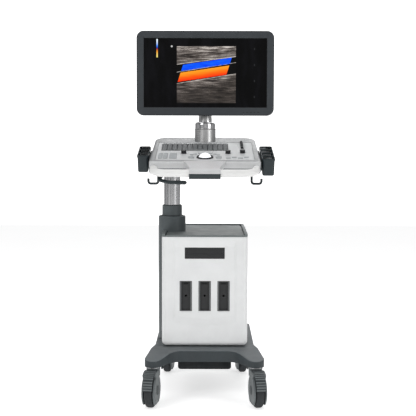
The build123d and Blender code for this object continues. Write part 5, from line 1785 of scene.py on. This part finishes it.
@dataclass
class Base(SubAssembly):
    """The base with its two feet, battery tub and four casters."""

    caster_names: Tuple[str, ...] = ("front_left", "front_right", "rear_left", "rear_right")
    hub_reach: float = 49.9 * MM
    hood_half: float = 18.1 * MM
    hood_reach: float = 71.0 * MM
    pedal_reach: float = 71.5 * MM
    axle_cap_radius: float = 17.0 * MM
    axle_cap_out: float = 24.4 * MM

    def build(self) -> None:
        """Dresses the base and finishes each caster."""
        self.paint("base_shell", Finish.BASE_SLATE)
        self.paint_part("base_shell", Finish.BASE_SIDE, lambda c, n: n.z < 0.30)
        self.paint("battery_box", Finish.TUB_BLACK)
        self.paint("caster_stems", Finish.BRUSHED_STEEL)
        for name in self.caster_names:
            self._caster(name)
        self._tub_screws()

    def _caster(self, name: str) -> None:
        """Finishes one caster: shells, tyre, hub, hood and axle caps.

        Args:
            name: which corner it stands at.
        """
        self.paint(f"caster_fork_{name}", Finish.CASTER_SHELL)
        self.paint(f"brake_pedal_{name}", Finish.CASTER_PEDAL)
        node = f"caster_wheel_{name}"
        self.paint(node, Finish.TYRE)
        spin = joint(f"wheel_turn_{name}")
        centre, axle = Vector(spin["pos_m"]), Vector(spin["axis"]).normalized()
        self.paint_part(node, Finish.CASTER_HUB,
                        lambda c, n: self._off_axis(c, centre, axle) < self.hub_reach)
        self._paint_hood(name, centre, axle)
        self._axle_caps(name, centre, axle)

    @staticmethod
    def _off_axis(point: Vector, centre: Vector, axle: Vector) -> float:
        """How far a point is from a wheel's axis."""
        away = point - centre
        return (away - axle * away.dot(axle)).length

    def _paint_hood(self, name: str, centre: Vector, axle: Vector) -> None:
        """The hood strip between the side shells is as dark as the pedal.

        Args:
            name: which corner the caster stands at.
            centre: the wheel's middle.
            axle: the direction of its axle.
        """
        self.paint_part(f"caster_fork_{name}", Finish.CASTER_PEDAL,
                        lambda c, n: (abs((c - centre).dot(axle)) < self.hood_half
                                      and self._off_axis(c, centre, axle) < self.hood_reach))
        self.paint_part(f"brake_pedal_{name}", Finish.CASTER_SHELL,
                        lambda c, n: self._off_axis(c, centre, axle) > self.pedal_reach)

    def _wheel_place(self, centre: Vector, axle: Vector) -> Matrix:
        """A transform whose X is the axle, whose Z is up and whose origin is the wheel's middle.

        Args:
            centre: the wheel's middle.
            axle: the direction of its axle.

        Returns:
            The transform.
        """
        up = Vector((0.0, 0.0, 1.0))
        forward = up.cross(axle)
        turn = Matrix((axle, forward, up)).transposed().to_4x4()
        return Matrix.Translation(centre) @ turn

    def _axle_caps(self, name: str, centre: Vector, axle: Vector) -> None:
        """Stepped round caps over the axle's ends on the side shells.

        Args:
            name: which corner the caster stands at.
            centre: the wheel's middle.
            axle: the direction of its axle.
        """
        cap = Bench.drum(f"axle_caps_{name}", (0.0, 0.0, 0.0), self.axle_cap_radius, 2.4 * MM, "X", 40)
        Bench.pick(cap, lambda f: f.normal.x > 0.9)
        bpy.ops.mesh.inset(thickness=4.0 * MM, depth=-0.8 * MM)
        bpy.ops.mesh.inset(thickness=3.0 * MM, depth=0.8 * MM)
        bpy.ops.object.mode_set(mode="OBJECT")
        Bench.round_edges(cap, 0.5 * MM, 2)
        place = self._wheel_place(centre, axle)
        out = Matrix.Translation((self.axle_cap_out, 0.0, 0.0))
        other = Matrix.Rotation(math.pi, 4, "Z") @ out
        caps = Bench.copies(cap, [place @ out, place @ other])
        self.fit(caps, f"caster_{name}", "caster_grey", Finish.CASTER_PEDAL)

    def _tub_screws(self) -> None:
        """Four screws that hold the battery tub's flange."""
        low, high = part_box("battery_box")
        flange_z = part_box("base_shell")[0].z
        head = screw_head("tub_screws", 3.4 * MM)
        flip = Matrix.Rotation(math.pi, 4, "X")
        places = [Matrix.Translation((x, y, flange_z)) @ flip
                  for x in (low.x + 0.014, high.x - 0.014) for y in (low.y + 0.060, high.y - 0.030)]
        self.fit(Bench.copies(head, places), "base", "steel", Finish.BRUSHED_STEEL)


# ---- studio -------------------------------------------------------------------------------------
@dataclass
class Studio:
    """Pale floor, soft lights and the camera."""

    eye: Tuple[float, float, float] = (0.0115, -3.671, 0.962)
    pitch: float = 4.134
    roll: float = 0.15
    lens: float = 83.2
    sensor: float = 36.0
    aim: Tuple[float, float, float] = (0.0, 0.0, 0.75)
    lamps: Tuple[Tuple[str, Tuple[float, float, float], Tuple[float, float], float], ...] = (
        ("key_light", (-2.4, -2.6, 2.6), (1.8, 1.8), 43.0),
        ("fill_light", (2.6, -2.2, 1.8), (1.6, 2.2), 28.0),
        ("top_light", (0.0, 0.2, 3.2), (2.4, 2.4), 26.0),
        ("back_light", (0.6, 2.8, 2.2), (2.0, 2.0), 20.0))
    around: float = 0.50
    around_seen: float = 1.6
    floor_size: float = 14.0
    floor_glow: float = 0.38
    floor_glow_seen: float = 0.26

    def build(self) -> None:
        """Makes the floor, the lights and the camera."""
        bpy.context.scene.view_settings.view_transform = "Standard"
        self._floor()
        self._world()
        self._lights()
        self._camera()

    def _floor(self) -> None:
        """A large pale floor with a faint mottle."""
        Bench.clear()
        bpy.ops.mesh.primitive_grid_add(x_subdivisions=4, y_subdivisions=4, size=self.floor_size)
        floor = bpy.context.object
        floor.name = "studio_floor"
        material = bpy.data.materials.new("studio_floor")
        material.use_nodes = True
        graph = Graph(material.node_tree)
        shade = graph.mix(graph.noise(graph.place(), 1.5, 3.0), (0.93, 0.93, 0.93), (0.95, 0.95, 0.95))
        seen = graph.times(graph.node("LightPath").outputs["Is Camera Ray"], self.floor_glow_seen)
        graph.surface({"Base Color": shade, "Roughness": 0.9, "Emission Color": shade,
                       "Emission Strength": graph.plus(seen, self.floor_glow)})
        floor.data.materials.append(material)

    def _world(self) -> None:
        """White surroundings to the eye, and a studio with dark sides to what shines."""
        world = bpy.data.worlds.new("studio")
        world.use_nodes = True
        bpy.context.scene.world = world
        graph = Graph(world.node_tree)
        direction = graph.node("TexCoord").outputs["Generated"]
        side = graph.math("ABSOLUTE", graph.parts(direction)["X"])
        cards = graph.ramp(side, [(0.0, (0.95, 0.95, 0.95)), (0.35, (0.62, 0.62, 0.63)),
                                  (0.62, (0.95, 0.95, 0.95)), (0.86, (0.30, 0.31, 0.32)),
                                  (1.0, (0.75, 0.75, 0.76))])
        background = graph.node("Background")
        graph.feed(background.inputs["Color"], cards)
        graph.feed(background.inputs["Strength"], self.around)
        seen = graph.node("Background")
        graph.feed(seen.inputs["Color"], (1.0, 1.0, 1.0))
        graph.feed(seen.inputs["Strength"], self.around_seen)
        path = graph.node("LightPath")
        mixer = graph.node("MixShader")
        graph.feed(mixer.inputs[0], path.outputs["Is Camera Ray"])
        graph.feed(mixer.inputs[1], background.outputs[0])
        graph.feed(mixer.inputs[2], seen.outputs[0])
        output = graph.node("OutputWorld")
        graph.feed(output.inputs["Surface"], mixer.outputs[0])

    def _lights(self) -> None:
        """A broad key from the upper left, a fill from the right, a top light and a back light."""
        for name, place, size, power in self.lamps:
            lamp = bpy.data.lights.new(name, "AREA")
            lamp.shape = "RECTANGLE"
            lamp.size, lamp.size_y = size
            lamp.energy = power
            holder = bpy.data.objects.new(name, lamp)
            holder.location = place
            towards = Vector(self.aim) - Vector(place)
            holder.rotation_euler = towards.to_track_quat("-Z", "Y").to_euler()
            bpy.context.scene.collection.objects.link(holder)

    def _camera(self) -> None:
        """The camera at panel height, square to the front, pitched down and rolled a little."""
        lens = bpy.data.cameras.new("camera")
        lens.sensor_width = self.sensor
        lens.lens = self.lens
        lens.clip_start, lens.clip_end = 0.05, 60.0
        camera = bpy.data.objects.new("camera", lens)
        camera.location = self.eye
        pitch = Matrix.Rotation(math.radians(90.0 - self.pitch), 4, "X")
        roll = Matrix.Rotation(math.radians(self.roll), 4, "Z")
        camera.rotation_euler = (pitch @ roll).to_euler()
        bpy.context.scene.collection.objects.link(camera)
        bpy.context.scene.camera = camera


def main() -> None:
    """Builds every sub-assembly in order, then the studio."""
    logging.basicConfig(level=logging.INFO, format="%(name)s: %(message)s")
    low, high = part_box("screen")
    wardrobe = Wardrobe((low.z + high.z) / 2)
    plane = PanelPlane()
    for assembly in (Monitor(wardrobe), Keyboard(wardrobe, plane), ControlPanel(wardrobe, plane),
                     Trunk(wardrobe), LiftColumn(wardrobe), Base(wardrobe)):
        assembly.build()
        LOG.info("finished %s", type(assembly).__name__)
    Studio().build()


if __name__ == "__main__":
    main()
